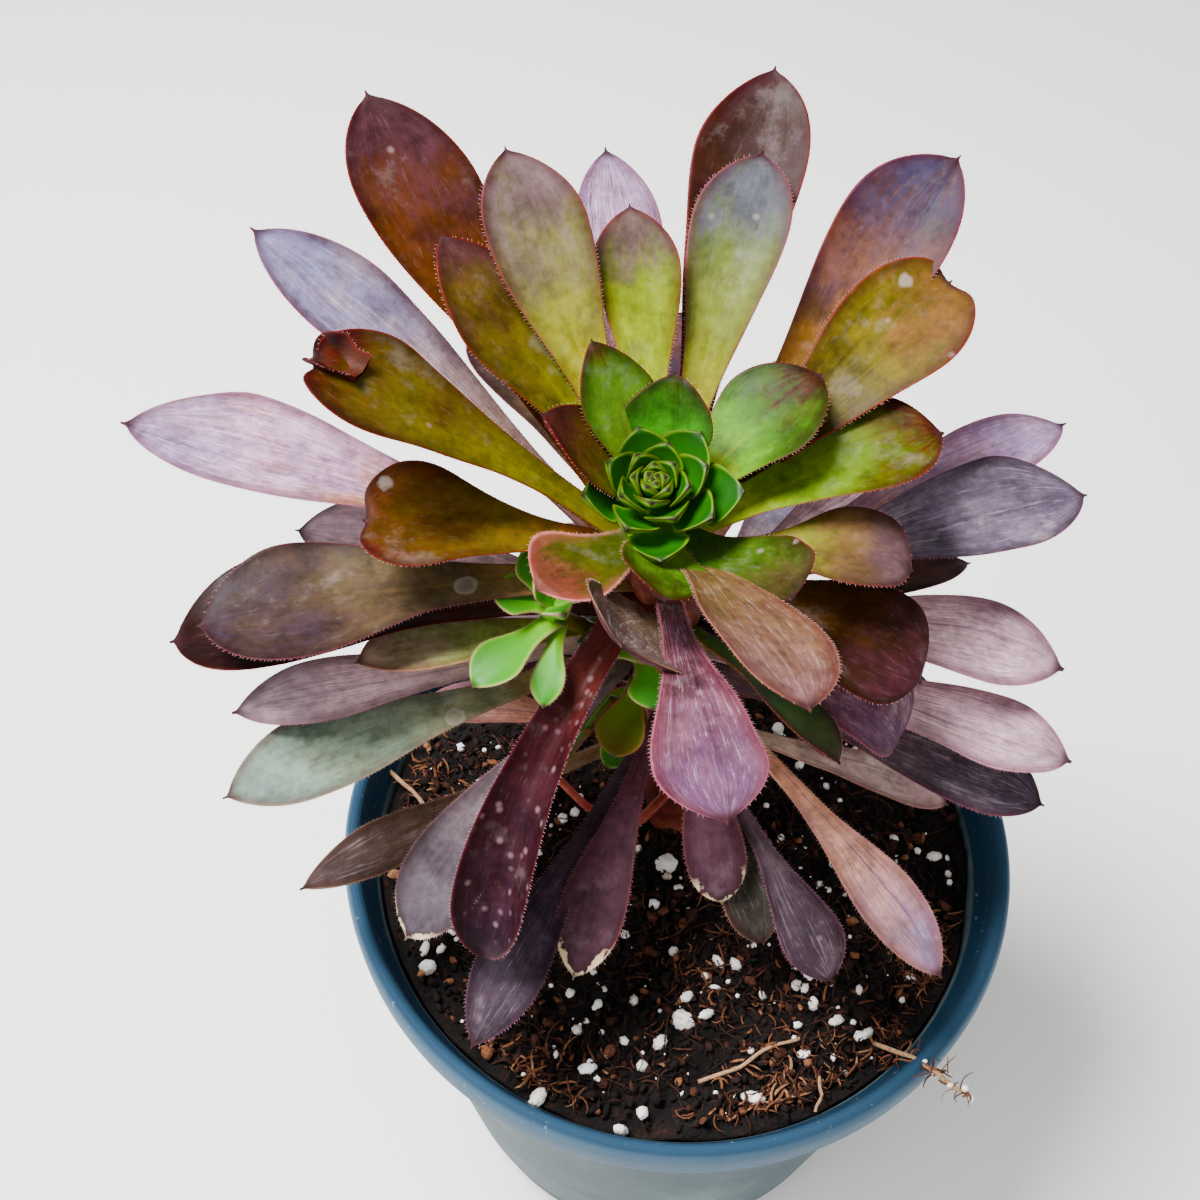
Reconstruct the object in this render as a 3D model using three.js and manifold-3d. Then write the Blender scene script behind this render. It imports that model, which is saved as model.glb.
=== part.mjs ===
import * as THREE from "three";
import { mergeVertices } from "three/addons/utils/BufferGeometryUtils.js";
import Module from "manifold-3d";

// Potted aeonium: a rosette of spoon-shaped leaves on one leaning stem, in a nursery pot.
// Millimetres, +Z up, origin on the table under the middle of the pot.

const wasm = await Module();
wasm.setup();

// Pot
const potHeight = 130;
const rimRadius = 75;
const lipHeight = 9;
const neckRadius = 70;
const baseRadius = 55;
const footHeight = 14;
const footFlare = 1.2;
const stepHeight = 15.5;
const stepRadius = 57.4;
const lipThickness = 4;
const cornerRound = 2;
const wall = 1.8;
const potSides = 40;
const drainHoles = 6;
const drainRadius = 4.5;
const drainCircle = 40;
const drainSides = 12;

// Soil
const soilLevel = 119;
const soilRelief = 1.6;
const soilRings = 8;
const soilSides = 36;
const moundHeight = 2.2;
const moundRadius = 20.5;
const perliteCount = 32;
const perliteSeed = 11;
const perliteMargin = 5;

// Gap between pieces that touch, and the wider one round the soil
const clearGap = 0.3;
const soilGap = 0.6;

// Stem: points (x, y, z) of its middle line from the buried end to the heart
const stemLine = [
  [1, 8, 85],
  [1, 8, 120],
  [-1, 9, 155],
  [-5, 8, 190],
  [-8, 5, 215],
  [-10, 0, 235],
];
const stemFoot = 88;
const stemTop = 216;
const stemFootRadius = 7.6;
const stemTopRadius = 6;
const stemSides = 12;
const stemStations = 14;

// Heart: the green crown that ends the stem and the bud on it
const crownTop = 234;
const crownTopRadius = 3.2;
const crownSides = 10;
const crownStations = 6;
const heartTilt = 18;
const heart = {
  count: 16,
  length: [12.5, 4],
  width: [10.5, 3.4],
  rise: [32, 84],
  spread: [3, 0.4],
  lift: [-5, 2],
};
const goldenAngle = 137.508;

// Side shoots
const branchRadius = 1.9;
const branchSides = 7;
const branchTaper = 0.8;

// Leaf blade
const bladeThickness = 1.9;
const petioleThickness = 3.2;
const edgeThickness = 1;
const leafStations = [0, 0.14, 0.34, 0.54, 0.7, 0.81, 0.91, 0.965, 1];
const budStations = [0, 0.35, 0.65, 0.88, 1];
const leafAcross = [-1, 0, 1];
const tipHalfWidth = 0.6;

// Shares of a leaf's length, or of its width, that shape it
const neckEnd = 0.14;
const thickEnd = 0.5;
const rollEnd = 0.6;
const leanStart = 0.45;
const curlStart = 0.7;
const notchStart = 0.82;
const notchWidth = 0.175;
const roundEnd = 0.99;
const pointWidth = 0.2;
const pointLength = 0.05;

// Each leaf: height z of its root on the stem, compass direction, mean rise, how much it bends down from root
// to tip (degrees), length, width; then what is special about it. See leafGeometry for what each word does.
const leaves = [
  { z: 203, az: 137, rise: 44, bend: 20, length: 102, width: 22, yaw: -36, lean: 2, blunt: 2.1, slim: 1.8 },
  { z: 213, az: 123.5, rise: 46, bend: 20, length: 76, width: 18.5, yaw: -18 },
  { z: 192, az: 102, rise: 42, bend: 20, length: 91, width: 16 },
  { z: 218, az: 98, rise: 40, bend: 20, length: 60, width: 15.5, blunt: 1.9 },
  { z: 218, az: 140, rise: 38, bend: 20, length: 65, width: 19, yaw: -12, blunt: 1.7, wide: 0.72 },
  { z: 205, az: 77, rise: 40, bend: 18, length: 97, width: 21, lean: -2, blunt: 2.1 },
  { z: 214, az: 73, rise: 38, bend: 20, length: 75, width: 17.5 },
  { z: 202, az: 44, rise: 36, bend: 14, length: 95, width: 22, yaw: -14, lean: 5 },
  { z: 210, az: 36, rise: 30, bend: 22, length: 76, width: 21, yaw: 8, notch: 3 },
  { z: 221, az: 37, rise: 28, bend: 20, length: 40, width: 19.5, neck: 0.36, wide: 0.72, slim: 1.2 },
  { z: 215, az: 14, rise: 20, bend: 20, length: 54, width: 22, slim: 1.8, neck: 0.34 },
  { z: 208, az: -12, rise: 18, bend: 40, length: 47, width: 20, curl: 20, slim: 1.9 },
  { z: 194, az: 12.7, rise: 11, bend: 18, length: 84, width: 23.5, blunt: 1.8 },
  { z: 188, az: 26, rise: 13, bend: 18, length: 92, width: 16 },
  { z: 178, az: 27, rise: -6, bend: 20, length: 77, width: 10, blunt: 1.7 },
  { z: 188, az: -6, rise: 0, bend: 18, length: 77, width: 20, blunt: 1.9, yaw: -20 },
  { z: 204, az: -29, rise: 4, bend: 50, length: 52, width: 24, blunt: 3 },
  { z: 183, az: -17, rise: -3, bend: 14, length: 80, width: 17 },
  { z: 176, az: -20, rise: -6, bend: 14, length: 78, width: 19 },
  { z: 190, az: -32, rise: 4, bend: 40, length: 54, width: 20, curl: 50 },
  { z: 212, az: -71, rise: 28, bend: 40, length: 66, width: 20, roll: -20, slim: 1.3 },
  { z: 200, az: -84, rise: 20, bend: 60, length: 70, width: 18, wide: 0.87, slim: 2.3, blunt: 2, yaw: 16 },
  { z: 204, az: -119, rise: -36, bend: 50, length: 81, width: 14, cup: 0.9, yaw: 24, neck: 0.5, slim: 1.2 },
  { z: 190, az: -133, rise: -24, bend: 40, length: 80, width: 17 },
  { z: 155, az: -152, rise: -2, bend: 10, length: 86, width: 12, blunt: 1.6 },
  { z: 204, az: -168, rise: 6, bend: 16, length: 84, width: 27, lean: 2, slim: 2 },
  { z: 194, az: -172, rise: 7, bend: 16, length: 93, width: 26, curl: 14, lean: 3 },
  { z: 188, az: -162, rise: 4, bend: 2, length: 84, width: 14 },
  { z: 184, az: -153, rise: 3, bend: 12, length: 90, width: 18, slim: 2 },
  { z: 203, az: 172, rise: 14, bend: 16, length: 103, width: 22.5, lean: -1, blunt: 1.6 },
  { z: 190, az: 174, rise: 13, bend: 20, length: 74, width: 18 },
  { z: 196, az: 156, rise: 38, bend: 10, length: 101, width: 20, slim: 1.7, lean: 2 },
  { z: 208, az: 171, rise: 34, bend: 20, length: 77, width: 22, notch: 4, lean: 1.5, slim: 1.9 },
  { z: 211, az: 183, rise: 13, bend: 16, length: 57, width: 25, notch: 3, slim: 1.9 },
  { z: 190, az: -106, rise: 46, bend: 10, length: 52, width: 23, blunt: 3.5, wide: 0.85, roll: -28 },
  { z: 218, az: -51, rise: 24, bend: 16, length: 35, width: 20, cup: 0.3, blunt: 3, neck: 0.4 },
  { z: 177, az: -75, rise: -33, bend: 30, length: 50, width: 12.5 },
  { z: 164, az: -68, rise: -25, bend: 30, length: 54, width: 13 },
  { z: 158, az: -61, rise: -12, bend: 24, length: 64, width: 13, slim: 2.5, wide: 0.86 },
  { z: 176, az: -50, rise: -10, bend: 20, length: 79, width: 13, slim: 2.4, lean: -1 },
  { z: 156, az: -16, rise: -6, bend: 14, length: 60, width: 13, roll: -15 },
  { z: 165, az: -120, rise: -16, bend: 24, length: 82, width: 14, blunt: 1.9, slim: 2.2 },
  { z: 172, az: -109, rise: -22, bend: 24, length: 64, width: 12.5 },
  { z: 190, az: -160, rise: 12, bend: 12, length: 62, width: 15, roll: 10 },
  { z: 190, az: -54, rise: 13, bend: 40, length: 50, width: 13, roll: -30 },
  { z: 184, az: 88, rise: -8, bend: 24, length: 80, width: 20 },
  { z: 176, az: 118, rise: -22, bend: 26, length: 74, width: 19 },
  { z: 178, az: 60, rise: -16, bend: 26, length: 78, width: 20 },
  { z: 170, az: 136, rise: -26, bend: 26, length: 72, width: 18 },
  { z: 168, az: 8, rise: -24, bend: 24, length: 70, width: 18 },
  { z: 198, az: 86, rise: 2, bend: 20, length: 84, width: 21 },
  { z: 194, az: 62, rise: 3, bend: 20, length: 80, width: 20 },
  { z: 200, az: 118, rise: 4, bend: 20, length: 82, width: 21 },
  { z: 188, az: 42, rise: -4, bend: 20, length: 78, width: 19 },
];

// The five inner leaves that belong to the heart, in the same words
const innerLeaves = [
  { z: 226, az: 80, rise: 52, bend: 16, length: 25, width: 16, blunt: 1.7, neck: 0.5, wide: 0.64 },
  { z: 225, az: 124, rise: 50, bend: 16, length: 33, width: 14, blunt: 1.7, neck: 0.5, wide: 0.66 },
  { z: 223, az: 173, rise: 50, bend: 16, length: 31, width: 17, blunt: 1.7, neck: 0.5, wide: 0.66 },
  { z: 217, az: -143, rise: 12, bend: 16, length: 27, width: 18, wide: 0.75, neck: 0.45 },
  { z: 222, az: -89, rise: 24, bend: 10, length: 28, width: 16, roll: -20, neck: 0.45, wide: 0.7, blunt: 2.6 },
];

const smooth = (x) => {
  const t = Math.min(1, Math.max(0, x));
  return t * t * (3 - 2 * t);
};
const rad = THREE.MathUtils.degToRad;

// The middle of the stem at height z, straight between the points of its line.
function stemAt(z) {
  let i = 0;
  while (i < stemLine.length - 2 && z > stemLine[i + 1][2]) i += 1;
  const [a, b] = [stemLine[i], stemLine[i + 1]];
  const t = (z - a[2]) / (b[2] - a[2]);
  return new THREE.Vector3(a[0] + t * (b[0] - a[0]), a[1] + t * (b[1] - a[1]), z);
}

// A closed body through rings of points, all with the same count and turning counterclockwise as seen from
// the last ring, with a flat cap at each end.
function loft(rings) {
  const n = rings[0].length;
  const index = [];
  for (let r = 0; r < rings.length - 1; r += 1)
    for (let k = 0; k < n; k += 1) {
      const a = r * n + k;
      const b = r * n + ((k + 1) % n);
      index.push(a, b, b + n, a, b + n, a + n);
    }
  const last = (rings.length - 1) * n;
  for (let k = 1; k < n - 1; k += 1) {
    index.push(0, k + 1, k);
    index.push(last, last + k, last + k + 1);
  }
  return geometryOf(rings.flat(), index);
}

function geometryOf(points, index) {
  const geometry = new THREE.BufferGeometry().setFromPoints(points);
  geometry.setIndex(index);
  return geometry;
}

function solidOf(geometry) {
  const bare = geometry.clone();
  bare.deleteAttribute("normal");
  bare.deleteAttribute("uv");
  const merged = mergeVertices(bare, 1e-4);
  return new wasm.Manifold(
    new wasm.Mesh({
      numProp: 3,
      vertProperties: merged.attributes.position.array,
      triVerts: new Uint32Array(merged.index.array),
    }),
  );
}

function geometryFrom(solid) {
  const mesh = solid.getMesh();
  const geometry = new THREE.BufferGeometry();
  geometry.setAttribute("position", new THREE.BufferAttribute(mesh.vertProperties, 3));
  geometry.setIndex(new THREE.BufferAttribute(mesh.triVerts, 1));
  return geometry;
}

// The largest body of a solid; scraps that a cut leaves are dropped.
function largest(solid) {
  const bodies = solid.decompose();
  return bodies.reduce((best, body) => (body.volume() > best.volume() ? body : best));
}

const unite = (solids) => solids.reduce((all, one) => all.add(one));

// Outline of a leaf, as a share of its half width at share s of its length: a narrow neck that widens to
// `wide` (the higher `slim`, the later), then a round end (the lower `blunt`, the more pointed) with a
// small point.
function outline(s, { wide = 0.8, blunt = 2.2, neck = 0.26, slim = 1.5 }) {
  const blade = neck + (1 - neck) * smooth((Math.max(0, s - neckEnd) / (wide - neckEnd)) ** slim);
  const u = Math.min(1, Math.max(0, (s - wide) / (roundEnd - wide)));
  const end = (1 - u ** blunt) ** 0.6;
  const point = pointWidth * Math.min(1, (1 - s) / pointLength);
  return Math.max(blade * end, point);
}

// The frame of a leaf at share s: direction t along it, side b and upper face n.
function leafFrame(leaf, s) {
  const { az, rise, bend, yaw = 0, curl = 0, roll = 0 } = leaf;
  const e = rad(rise + bend * (0.5 - s) - curl * smooth((s - curlStart) / (1 - curlStart)));
  const a = rad(az + yaw * (s - 0.5));
  const t = new THREE.Vector3(Math.cos(e) * Math.cos(a), Math.cos(e) * Math.sin(a), Math.sin(e));
  const side = new THREE.Vector3(-Math.sin(a), Math.cos(a), 0);
  const turn = rad(roll * smooth(s / rollEnd));
  const b = side.clone().applyAxisAngle(t, turn);
  const n = new THREE.Vector3().crossVectors(t, b);
  return { t, b, n };
}

// Points of a leaf's middle line at the stations, walked in small steps from its root.
const walkSteps = 60;
function leafLine(leaf, root) {
  const walked = [root.clone()];
  for (let k = 0; k < walkSteps; k += 1) {
    const { t } = leafFrame(leaf, (k + 0.5) / walkSteps);
    walked.push(walked[k].clone().addScaledVector(t, leaf.length / walkSteps));
  }
  return (s) => {
    const k = Math.min(walkSteps - 1, Math.floor(s * walkSteps));
    return walked[k].clone().lerp(walked[k + 1], s * walkSteps - k);
  };
}

// One leaf: a thin lens-shaped blade. `cup` lifts its edges, `lean` carries its tip sideways and `notch`
// pulls the middle of its end back. `grow` thickens it all round, for cutting a neighbour clear of it.
function leafGeometry(leaf, root, grow = 0) {
  const { width, cup = 0.25, lean = 0, notch = 0, thin = 1, stations = leafStations } = leaf;
  const at = leafLine(leaf, root);
  const points = [];
  for (const s of stations) {
    const { t, b, n } = leafFrame(leaf, s);
    const half = Math.max(tipHalfWidth, (width / 2) * outline(s, leaf)) + grow;
    const body = petioleThickness + (bladeThickness - petioleThickness) * smooth(s / thickEnd);
    const ends = s === 1 ? grow : s === 0 ? -grow : 0;
    for (const face of [1, -1])
      for (const v of leafAcross) {
        const w = half * v;
        const thick = thin * (edgeThickness + (body - edgeThickness) * (1 - v * v)) + 2 * grow;
        const late = smooth((s - notchStart) / (1 - notchStart));
        const back = notch * late * Math.exp(-((w / (notchWidth * width)) ** 2));
        points.push(
          at(s)
            .addScaledVector(t, ends - back)
            .addScaledVector(b, w + lean * smooth((s - leanStart) / (1 - leanStart)))
            .addScaledVector(n, cup * half * v * v + (face * thick) / 2),
        );
      }
  }
  return geometryOf(points, leafIndex(stations.length));
}

// Both faces of a leaf are split alike, so the thin blade never crosses itself.
function leafIndex(rows) {
  const m = leafAcross.length;
  const top = (r, c) => r * 2 * m + c;
  const under = (r, c) => r * 2 * m + m + c;
  const index = [];
  const quad = (a, b, c, d) => index.push(a, b, c, a, c, d);
  for (let r = 0; r < rows - 1; r += 1) {
    for (let c = 0; c < m - 1; c += 1) {
      index.push(top(r, c), top(r + 1, c + 1), top(r, c + 1));
      index.push(top(r, c), top(r + 1, c), top(r + 1, c + 1));
      index.push(under(r, c), under(r, c + 1), under(r + 1, c + 1));
      index.push(under(r, c), under(r + 1, c + 1), under(r + 1, c));
    }
    quad(top(r, 0), under(r, 0), under(r + 1, 0), top(r + 1, 0));
    quad(top(r, m - 1), top(r + 1, m - 1), under(r + 1, m - 1), under(r, m - 1));
  }
  for (let c = 0; c < m - 1; c += 1) {
    quad(top(0, c), top(0, c + 1), under(0, c + 1), under(0, c));
    quad(top(rows - 1, c), under(rows - 1, c), under(rows - 1, c + 1), top(rows - 1, c + 1));
  }
  return index;
}

const leafSolid = (leaf, grow = 0, root = stemAt(leaf.z), place = new THREE.Matrix4()) =>
  solidOf(leafGeometry(leaf, root, grow).applyMatrix4(place));

// A round shoot along points, from one radius to another.
function shootSolid(points, fromRadius, toRadius, sides) {
  const rings = points.map((point, i) => {
    const before = points[Math.max(0, i - 1)];
    const after = points[Math.min(points.length - 1, i + 1)];
    const along = after.clone().sub(before).normalize();
    const b = new THREE.Vector3(0, 1, 0).cross(along).normalize();
    const c = along.clone().cross(b);
    const radius = fromRadius + ((toRadius - fromRadius) * i) / (points.length - 1);
    return Array.from({ length: sides }, (_, k) => {
      const turn = (2 * Math.PI * k) / sides;
      return point
        .clone()
        .addScaledVector(b, radius * Math.cos(turn))
        .addScaledVector(c, radius * Math.sin(turn));
    });
  });
  return solidOf(loft(rings));
}

const stemPoints = (from, to, count) =>
  Array.from({ length: count }, (_, i) => stemAt(from + ((to - from) * i) / (count - 1)));

const stemSolid = (grow) =>
  shootSolid(
    stemPoints(stemFoot - grow, stemTop + grow, stemStations),
    stemFootRadius + grow,
    stemTopRadius + grow,
    stemSides,
  );

const crownSolid = (grow) =>
  shootSolid(
    stemPoints(stemTop + clearGap - grow, crownTop, crownStations),
    stemTopRadius + grow,
    crownTopRadius + grow,
    crownSides,
  );

// Leaves in a spiral round an upright axis, older and lower ones outside. Each pair is the value of the
// outermost and of the innermost leaf; what the leaves have in common is in budLeaf.
const budLeaf = { bend: -24, cup: 0.4, neck: 0.5, wide: 0.62, blunt: 1.9, thin: 0.8, stations: budStations };
function rosetteLeaves({ count, length, width, rise, spread, lift }) {
  const mix = ([outer, inner], t) => outer + (inner - outer) * t;
  return Array.from({ length: count }, (_, i) => {
    const t = i / (count - 1);
    const az = i * goldenAngle;
    const root = new THREE.Vector3(mix(spread, t), 0, mix(lift, t));
    return {
      ...budLeaf,
      az,
      rise: mix(rise, t),
      length: mix(length, t),
      width: mix(width, t),
      root: root.applyAxisAngle(new THREE.Vector3(0, 0, 1), rad(az)),
    };
  });
}

function rosetteSolids(spec, centre, tilt, towards, grow) {
  const axis = new THREE.Vector3(0, 0, 1).applyAxisAngle(new THREE.Vector3(0, 1, 0), rad(tilt));
  axis.applyAxisAngle(new THREE.Vector3(0, 0, 1), rad(towards));
  const turn = new THREE.Quaternion().setFromUnitVectors(new THREE.Vector3(0, 0, 1), axis);
  const place = new THREE.Matrix4().compose(centre, turn, new THREE.Vector3(1, 1, 1));
  return rosetteLeaves(spec).map((leaf) => leafSolid(leaf, grow, leaf.root, place));
}

const heartSolid = (grow) =>
  unite([
    crownSolid(grow),
    ...innerLeaves.map((leaf) => leafSolid(leaf, grow)),
    ...rosetteSolids(heart, stemAt(crownTop), heartTilt, -90, grow),
  ]);

// Side shoots: a thin branch through points, and leaves on it. Each leaf: root x, y, z, compass direction,
// rise, length, width; what the leaves have in common is in shootLeaf.
const vector = (x, y, z) => new THREE.Vector3(x, y, z);
const shootLeaf = { bend: 24, cup: 0.35, neck: 0.45, wide: 0.68, blunt: 1.9, stations: budStations };
const leftShoot = {
  branch: [vector(-4, 8.5, 180), vector(-12, 6, 186), vector(-20, 2, 195), vector(-27.5, -2.5, 206)],
  leaves: [
    [-27.5, -2.5, 206, 118, 48, 13, 8.5],
    [-27.5, -2.5, 206, 180, 22, 11, 9.5],
    [-26.5, -3.5, 204, -135, -4, 20, 9.5],
    [-25.5, -3.5, 203, -100, -18, 16, 6.5],
    [-26.5, -2.5, 206, 20, 40, 10, 7],
    [-27.5, -2.5, 206, 145, 66, 8, 5.5],
    [-27.5, -3.5, 206, -60, 48, 9, 6],
  ],
};
const frontShoot = {
  branch: [vector(-3, 8, 152), vector(-9, 3, 160), vector(-11, -1, 176), vector(-10, -4, 194)],
  leaves: [
    [-10, -4, 194, 172, 12, 13, 8],
    [-10, -4, 193, -80, 0, 11, 9],
    [-10, -4, 194, 40, 44, 9, 6],
    [-10, -3, 186, -112, -26, 16, 10],
    [-11, -1, 178, -160, -12, 15, 10],
    [-10, 1, 164, -128, -14, 11, 7],
  ],
};

function shootWithLeaves({ branch, leaves: rows }, grow) {
  const radius = branchRadius + grow;
  const leavesOf = ([x, y, z, az, rise, length, width]) =>
    leafSolid({ ...shootLeaf, az, rise, length, width }, grow, vector(x, y, z));
  return unite([shootSolid(branch, radius, radius * branchTaper, branchSides), ...rows.map(leavesOf)]);
}

// Pot: an open shell with a rolled rim, turned round its axis, with drain holes near the edge of its floor
function potProfile() {
  const top = potHeight;
  const under = potHeight - lipHeight;
  return [
    [0, 0],
    [baseRadius - cornerRound, 0],
    [baseRadius, cornerRound],
    [baseRadius + footFlare, footHeight],
    [stepRadius, stepHeight],
    [neckRadius, under - 1],
    [rimRadius - 1.6, under - 0.4],
    [rimRadius - 0.2, under + 0.8],
    [rimRadius, top - 3.6],
    [rimRadius - 0.6, top - 1.2],
    [rimRadius - 2, top],
    [rimRadius - 3.4, top - 0.8],
    [rimRadius - lipThickness, top - 3],
    [neckRadius - wall, under - cornerRound],
    [stepRadius - wall, stepHeight],
    [baseRadius - wall, wall + cornerRound],
    [baseRadius - wall - cornerRound, wall],
    [0, wall],
  ];
}

const upright = (geometry) => geometry.rotateX(Math.PI / 2);

function potSolid() {
  const profile = potProfile().map(([r, z]) => new THREE.Vector2(r, z));
  let pot = solidOf(upright(new THREE.LatheGeometry(profile, potSides)));
  for (let k = 0; k < drainHoles; k += 1) {
    const a = (2 * Math.PI * k) / drainHoles;
    const hole = upright(new THREE.CylinderGeometry(drainRadius, drainRadius, 4 * wall, drainSides));
    hole.translate(drainCircle * Math.cos(a), drainCircle * Math.sin(a), 0);
    pot = pot.subtract(solidOf(hole));
  }
  return pot;
}

// Inner radius of the pot at height z, below the lip
function innerRadius(z) {
  const neckHeight = potHeight - lipHeight - cornerRound;
  const t = (z - stepHeight) / (neckHeight - stepHeight);
  return stepRadius - wall + t * (neckRadius - stepRadius);
}

// Height of the soil: gentle mounds, a little higher round the stem
function soilHeight(x, y) {
  const wide = Math.sin(x * 0.21 + 0.6) * Math.cos(y * 0.17 - 0.8);
  const close = Math.sin(x * 0.43 - y * 0.37 + 1.9);
  const fromStem = Math.hypot(x - stemLine[0][0], y - stemLine[0][1]);
  const stemMound = moundHeight * Math.exp(-((fromStem / moundRadius) ** 2));
  return soilLevel + soilRelief * (0.62 * wide + 0.38 * close) + stemMound;
}

// A seeded draw between 0 and 1
function drawFrom(seed) {
  let state = seed;
  return () => {
    state = (state * 1664525 + 1013904223) % 4294967296;
    return state / 4294967296;
  };
}

function soilBody() {
  const outer = innerRadius(soilLevel) - soilGap;
  const floor = wall + clearGap;
  const points = [vector(0, 0, soilHeight(0, 0))];
  const ring = (radius, height) => {
    for (let k = 0; k < soilSides; k += 1) {
      const a = (2 * Math.PI * k) / soilSides;
      const [x, y] = [radius * Math.cos(a), radius * Math.sin(a)];
      points.push(vector(x, y, height ?? soilHeight(x, y)));
    }
  };
  for (let r = 1; r <= soilRings; r += 1) ring((outer * r) / soilRings);
  ring(stepRadius - wall - soilGap, stepHeight);
  ring(baseRadius - wall - soilGap, floor + cornerRound);
  ring(baseRadius - wall - cornerRound - soilGap, floor);
  points.push(vector(0, 0, floor));
  const index = [];
  const at = (r, k) => 1 + (r - 1) * soilSides + (k % soilSides);
  const rings = soilRings + 3;
  for (let k = 0; k < soilSides; k += 1) {
    index.push(0, at(1, k), at(1, k + 1));
    for (let r = 1; r < rings; r += 1) {
      index.push(at(r, k), at(r + 1, k), at(r + 1, k + 1));
      index.push(at(r, k), at(r + 1, k + 1), at(r, k + 1));
    }
    index.push(at(rings, k), points.length - 1, at(rings, k + 1));
  }
  return solidOf(geometryOf(points, index));
}

// Perlite grains: small lumps half sunk in the soil, scattered with a seeded draw
function perliteSolids() {
  const draw = drawFrom(perliteSeed);
  const reach = innerRadius(soilLevel) - perliteMargin;
  return Array.from({ length: perliteCount }, () => {
    const r = reach * Math.sqrt(0.06 + 0.94 * draw());
    const a = 2 * Math.PI * draw();
    const size = 1 + 1.2 * draw();
    const grain = new THREE.OctahedronGeometry(size);
    grain.scale(1 + 0.4 * draw(), 1, 0.8);
    grain.rotateZ(Math.PI * draw());
    const [x, y] = [r * Math.cos(a), r * Math.sin(a)];
    return solidOf(grain.translate(x, y, soilHeight(x, y) + clearGap));
  });
}

const soilSolid = () => largest(unite([soilBody(), ...perliteSolids()]).subtract(stemSolid(clearGap)));

const material = (color, roughness) => new THREE.MeshStandardMaterial({ color, roughness, metalness: 0 });
const potBlue = material(0x4c6e86, 0.45);
const soilBrown = material(0x2a1c16, 0.95);
const stemRed = material(0x6a2a22, 0.6);
const heartGreen = material(0x4f8a1e, 0.5);
// Young leaves near the heart are green, older ones below them olive, then purple-grey, then maroon.
const leafAges = [
  { above: 216, look: material(0x6f8a2c, 0.5) },
  { above: 205, look: material(0x7d6a3c, 0.5) },
  { above: 185, look: material(0x8d6f86, 0.55) },
  { above: 0, look: material(0x5c3540, 0.55) },
];
const lookOf = (leaf) => leafAges.find(({ above }) => leaf.z > above).look;

function named(name, solid, look) {
  const mesh = new THREE.Mesh(geometryFrom(solid), look);
  mesh.name = name;
  return mesh;
}

function plant() {
  const group = new THREE.Group();
  const cutters = [stemSolid(clearGap), heartSolid(clearGap)];
  group.add(named("stem", stemSolid(0), stemRed));
  group.add(named("heart", largest(heartSolid(0).subtract(stemSolid(clearGap))), heartGreen));
  const order = leaves.map((leaf, i) => ({ leaf, i })).sort((p, q) => q.leaf.z - p.leaf.z);
  for (const { leaf, i } of order) {
    const whole = leafSolid(leaf);
    const cut = cutters.reduce((left, cutter) => left.subtract(cutter), whole);
    const name = `leaf_${String(i + 1).padStart(2, "0")}`;
    group.add(named(name, largest(cut), lookOf(leaf)));
    cutters.push(leafSolid(leaf, clearGap));
  }
  for (const [name, shoot] of Object.entries({ offset_left: leftShoot, offset_front: frontShoot })) {
    const cut = cutters.reduce((left, cutter) => left.subtract(cutter), shootWithLeaves(shoot, 0));
    group.add(named(name, largest(cut), heartGreen));
    cutters.push(shootWithLeaves(shoot, clearGap));
  }
  return group;
}

const group = new THREE.Group();
group.add(named("pot", potSolid(), potBlue));
group.add(named("soil", soilSolid(), soilBrown));
group.add(plant());

export default group;
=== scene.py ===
import bpy
import numpy as np
from mathutils import Matrix


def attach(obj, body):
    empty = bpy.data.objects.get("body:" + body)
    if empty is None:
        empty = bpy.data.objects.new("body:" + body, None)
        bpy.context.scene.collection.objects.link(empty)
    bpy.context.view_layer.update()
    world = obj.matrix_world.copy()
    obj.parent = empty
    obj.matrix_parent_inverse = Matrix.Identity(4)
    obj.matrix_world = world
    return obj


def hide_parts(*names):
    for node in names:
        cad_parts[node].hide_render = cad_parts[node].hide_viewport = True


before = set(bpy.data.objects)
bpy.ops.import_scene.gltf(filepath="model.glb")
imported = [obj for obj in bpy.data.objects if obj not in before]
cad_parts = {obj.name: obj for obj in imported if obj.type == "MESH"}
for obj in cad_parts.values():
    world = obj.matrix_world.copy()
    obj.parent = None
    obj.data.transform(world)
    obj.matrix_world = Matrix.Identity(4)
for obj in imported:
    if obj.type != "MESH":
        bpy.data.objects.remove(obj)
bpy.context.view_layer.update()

# A potted aeonium: fine leaves, bud, side shoots, stem, soil and pot over the plain solids of the frame.
# Shapes are worked out in millimetres, +Z up, and put into the meshes in metres.
mm = 0.001
print("frame loaded:", len(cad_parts), "nodes")


def linked(name, data, axes=None):
    # a new object in the scene; axes are its side, its up, its back and its place
    made = bpy.data.objects.new(name, data)
    if axes:
        made.matrix_world = Matrix([*np.stack(axes, 1).tolist(), (0, 0, 0, 1)])
    bpy.context.scene.collection.objects.link(made)
    return made


def unit(vectors):
    return vectors / np.maximum(1e-6, np.linalg.norm(vectors, axis=-1, keepdims=True))


photoView = {"at": (-0.0184, -0.1529, 0.3926), "down": 50.6, "roll": 1.2, "wide": 48.72, "near": 0.01}


def addCamera():
    # looks along +Y and down, then rolls a little about its own line of sight
    down, roll = np.radians([photoView["down"], photoView["roll"]])
    side, up = np.array([1.0, 0, 0]), np.array([0, np.sin(down), np.cos(down)])
    lens = bpy.data.cameras.new("photoView")
    lens.angle = np.radians(photoView["wide"])
    lens.clip_start = photoView["near"]
    bpy.context.scene.camera = linked("photoView", lens, [
        np.cos(roll) * side + np.sin(roll) * up, np.cos(roll) * up - np.sin(roll) * side,
        (0, -np.cos(down), np.sin(down)), photoView["at"],
    ])


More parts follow.
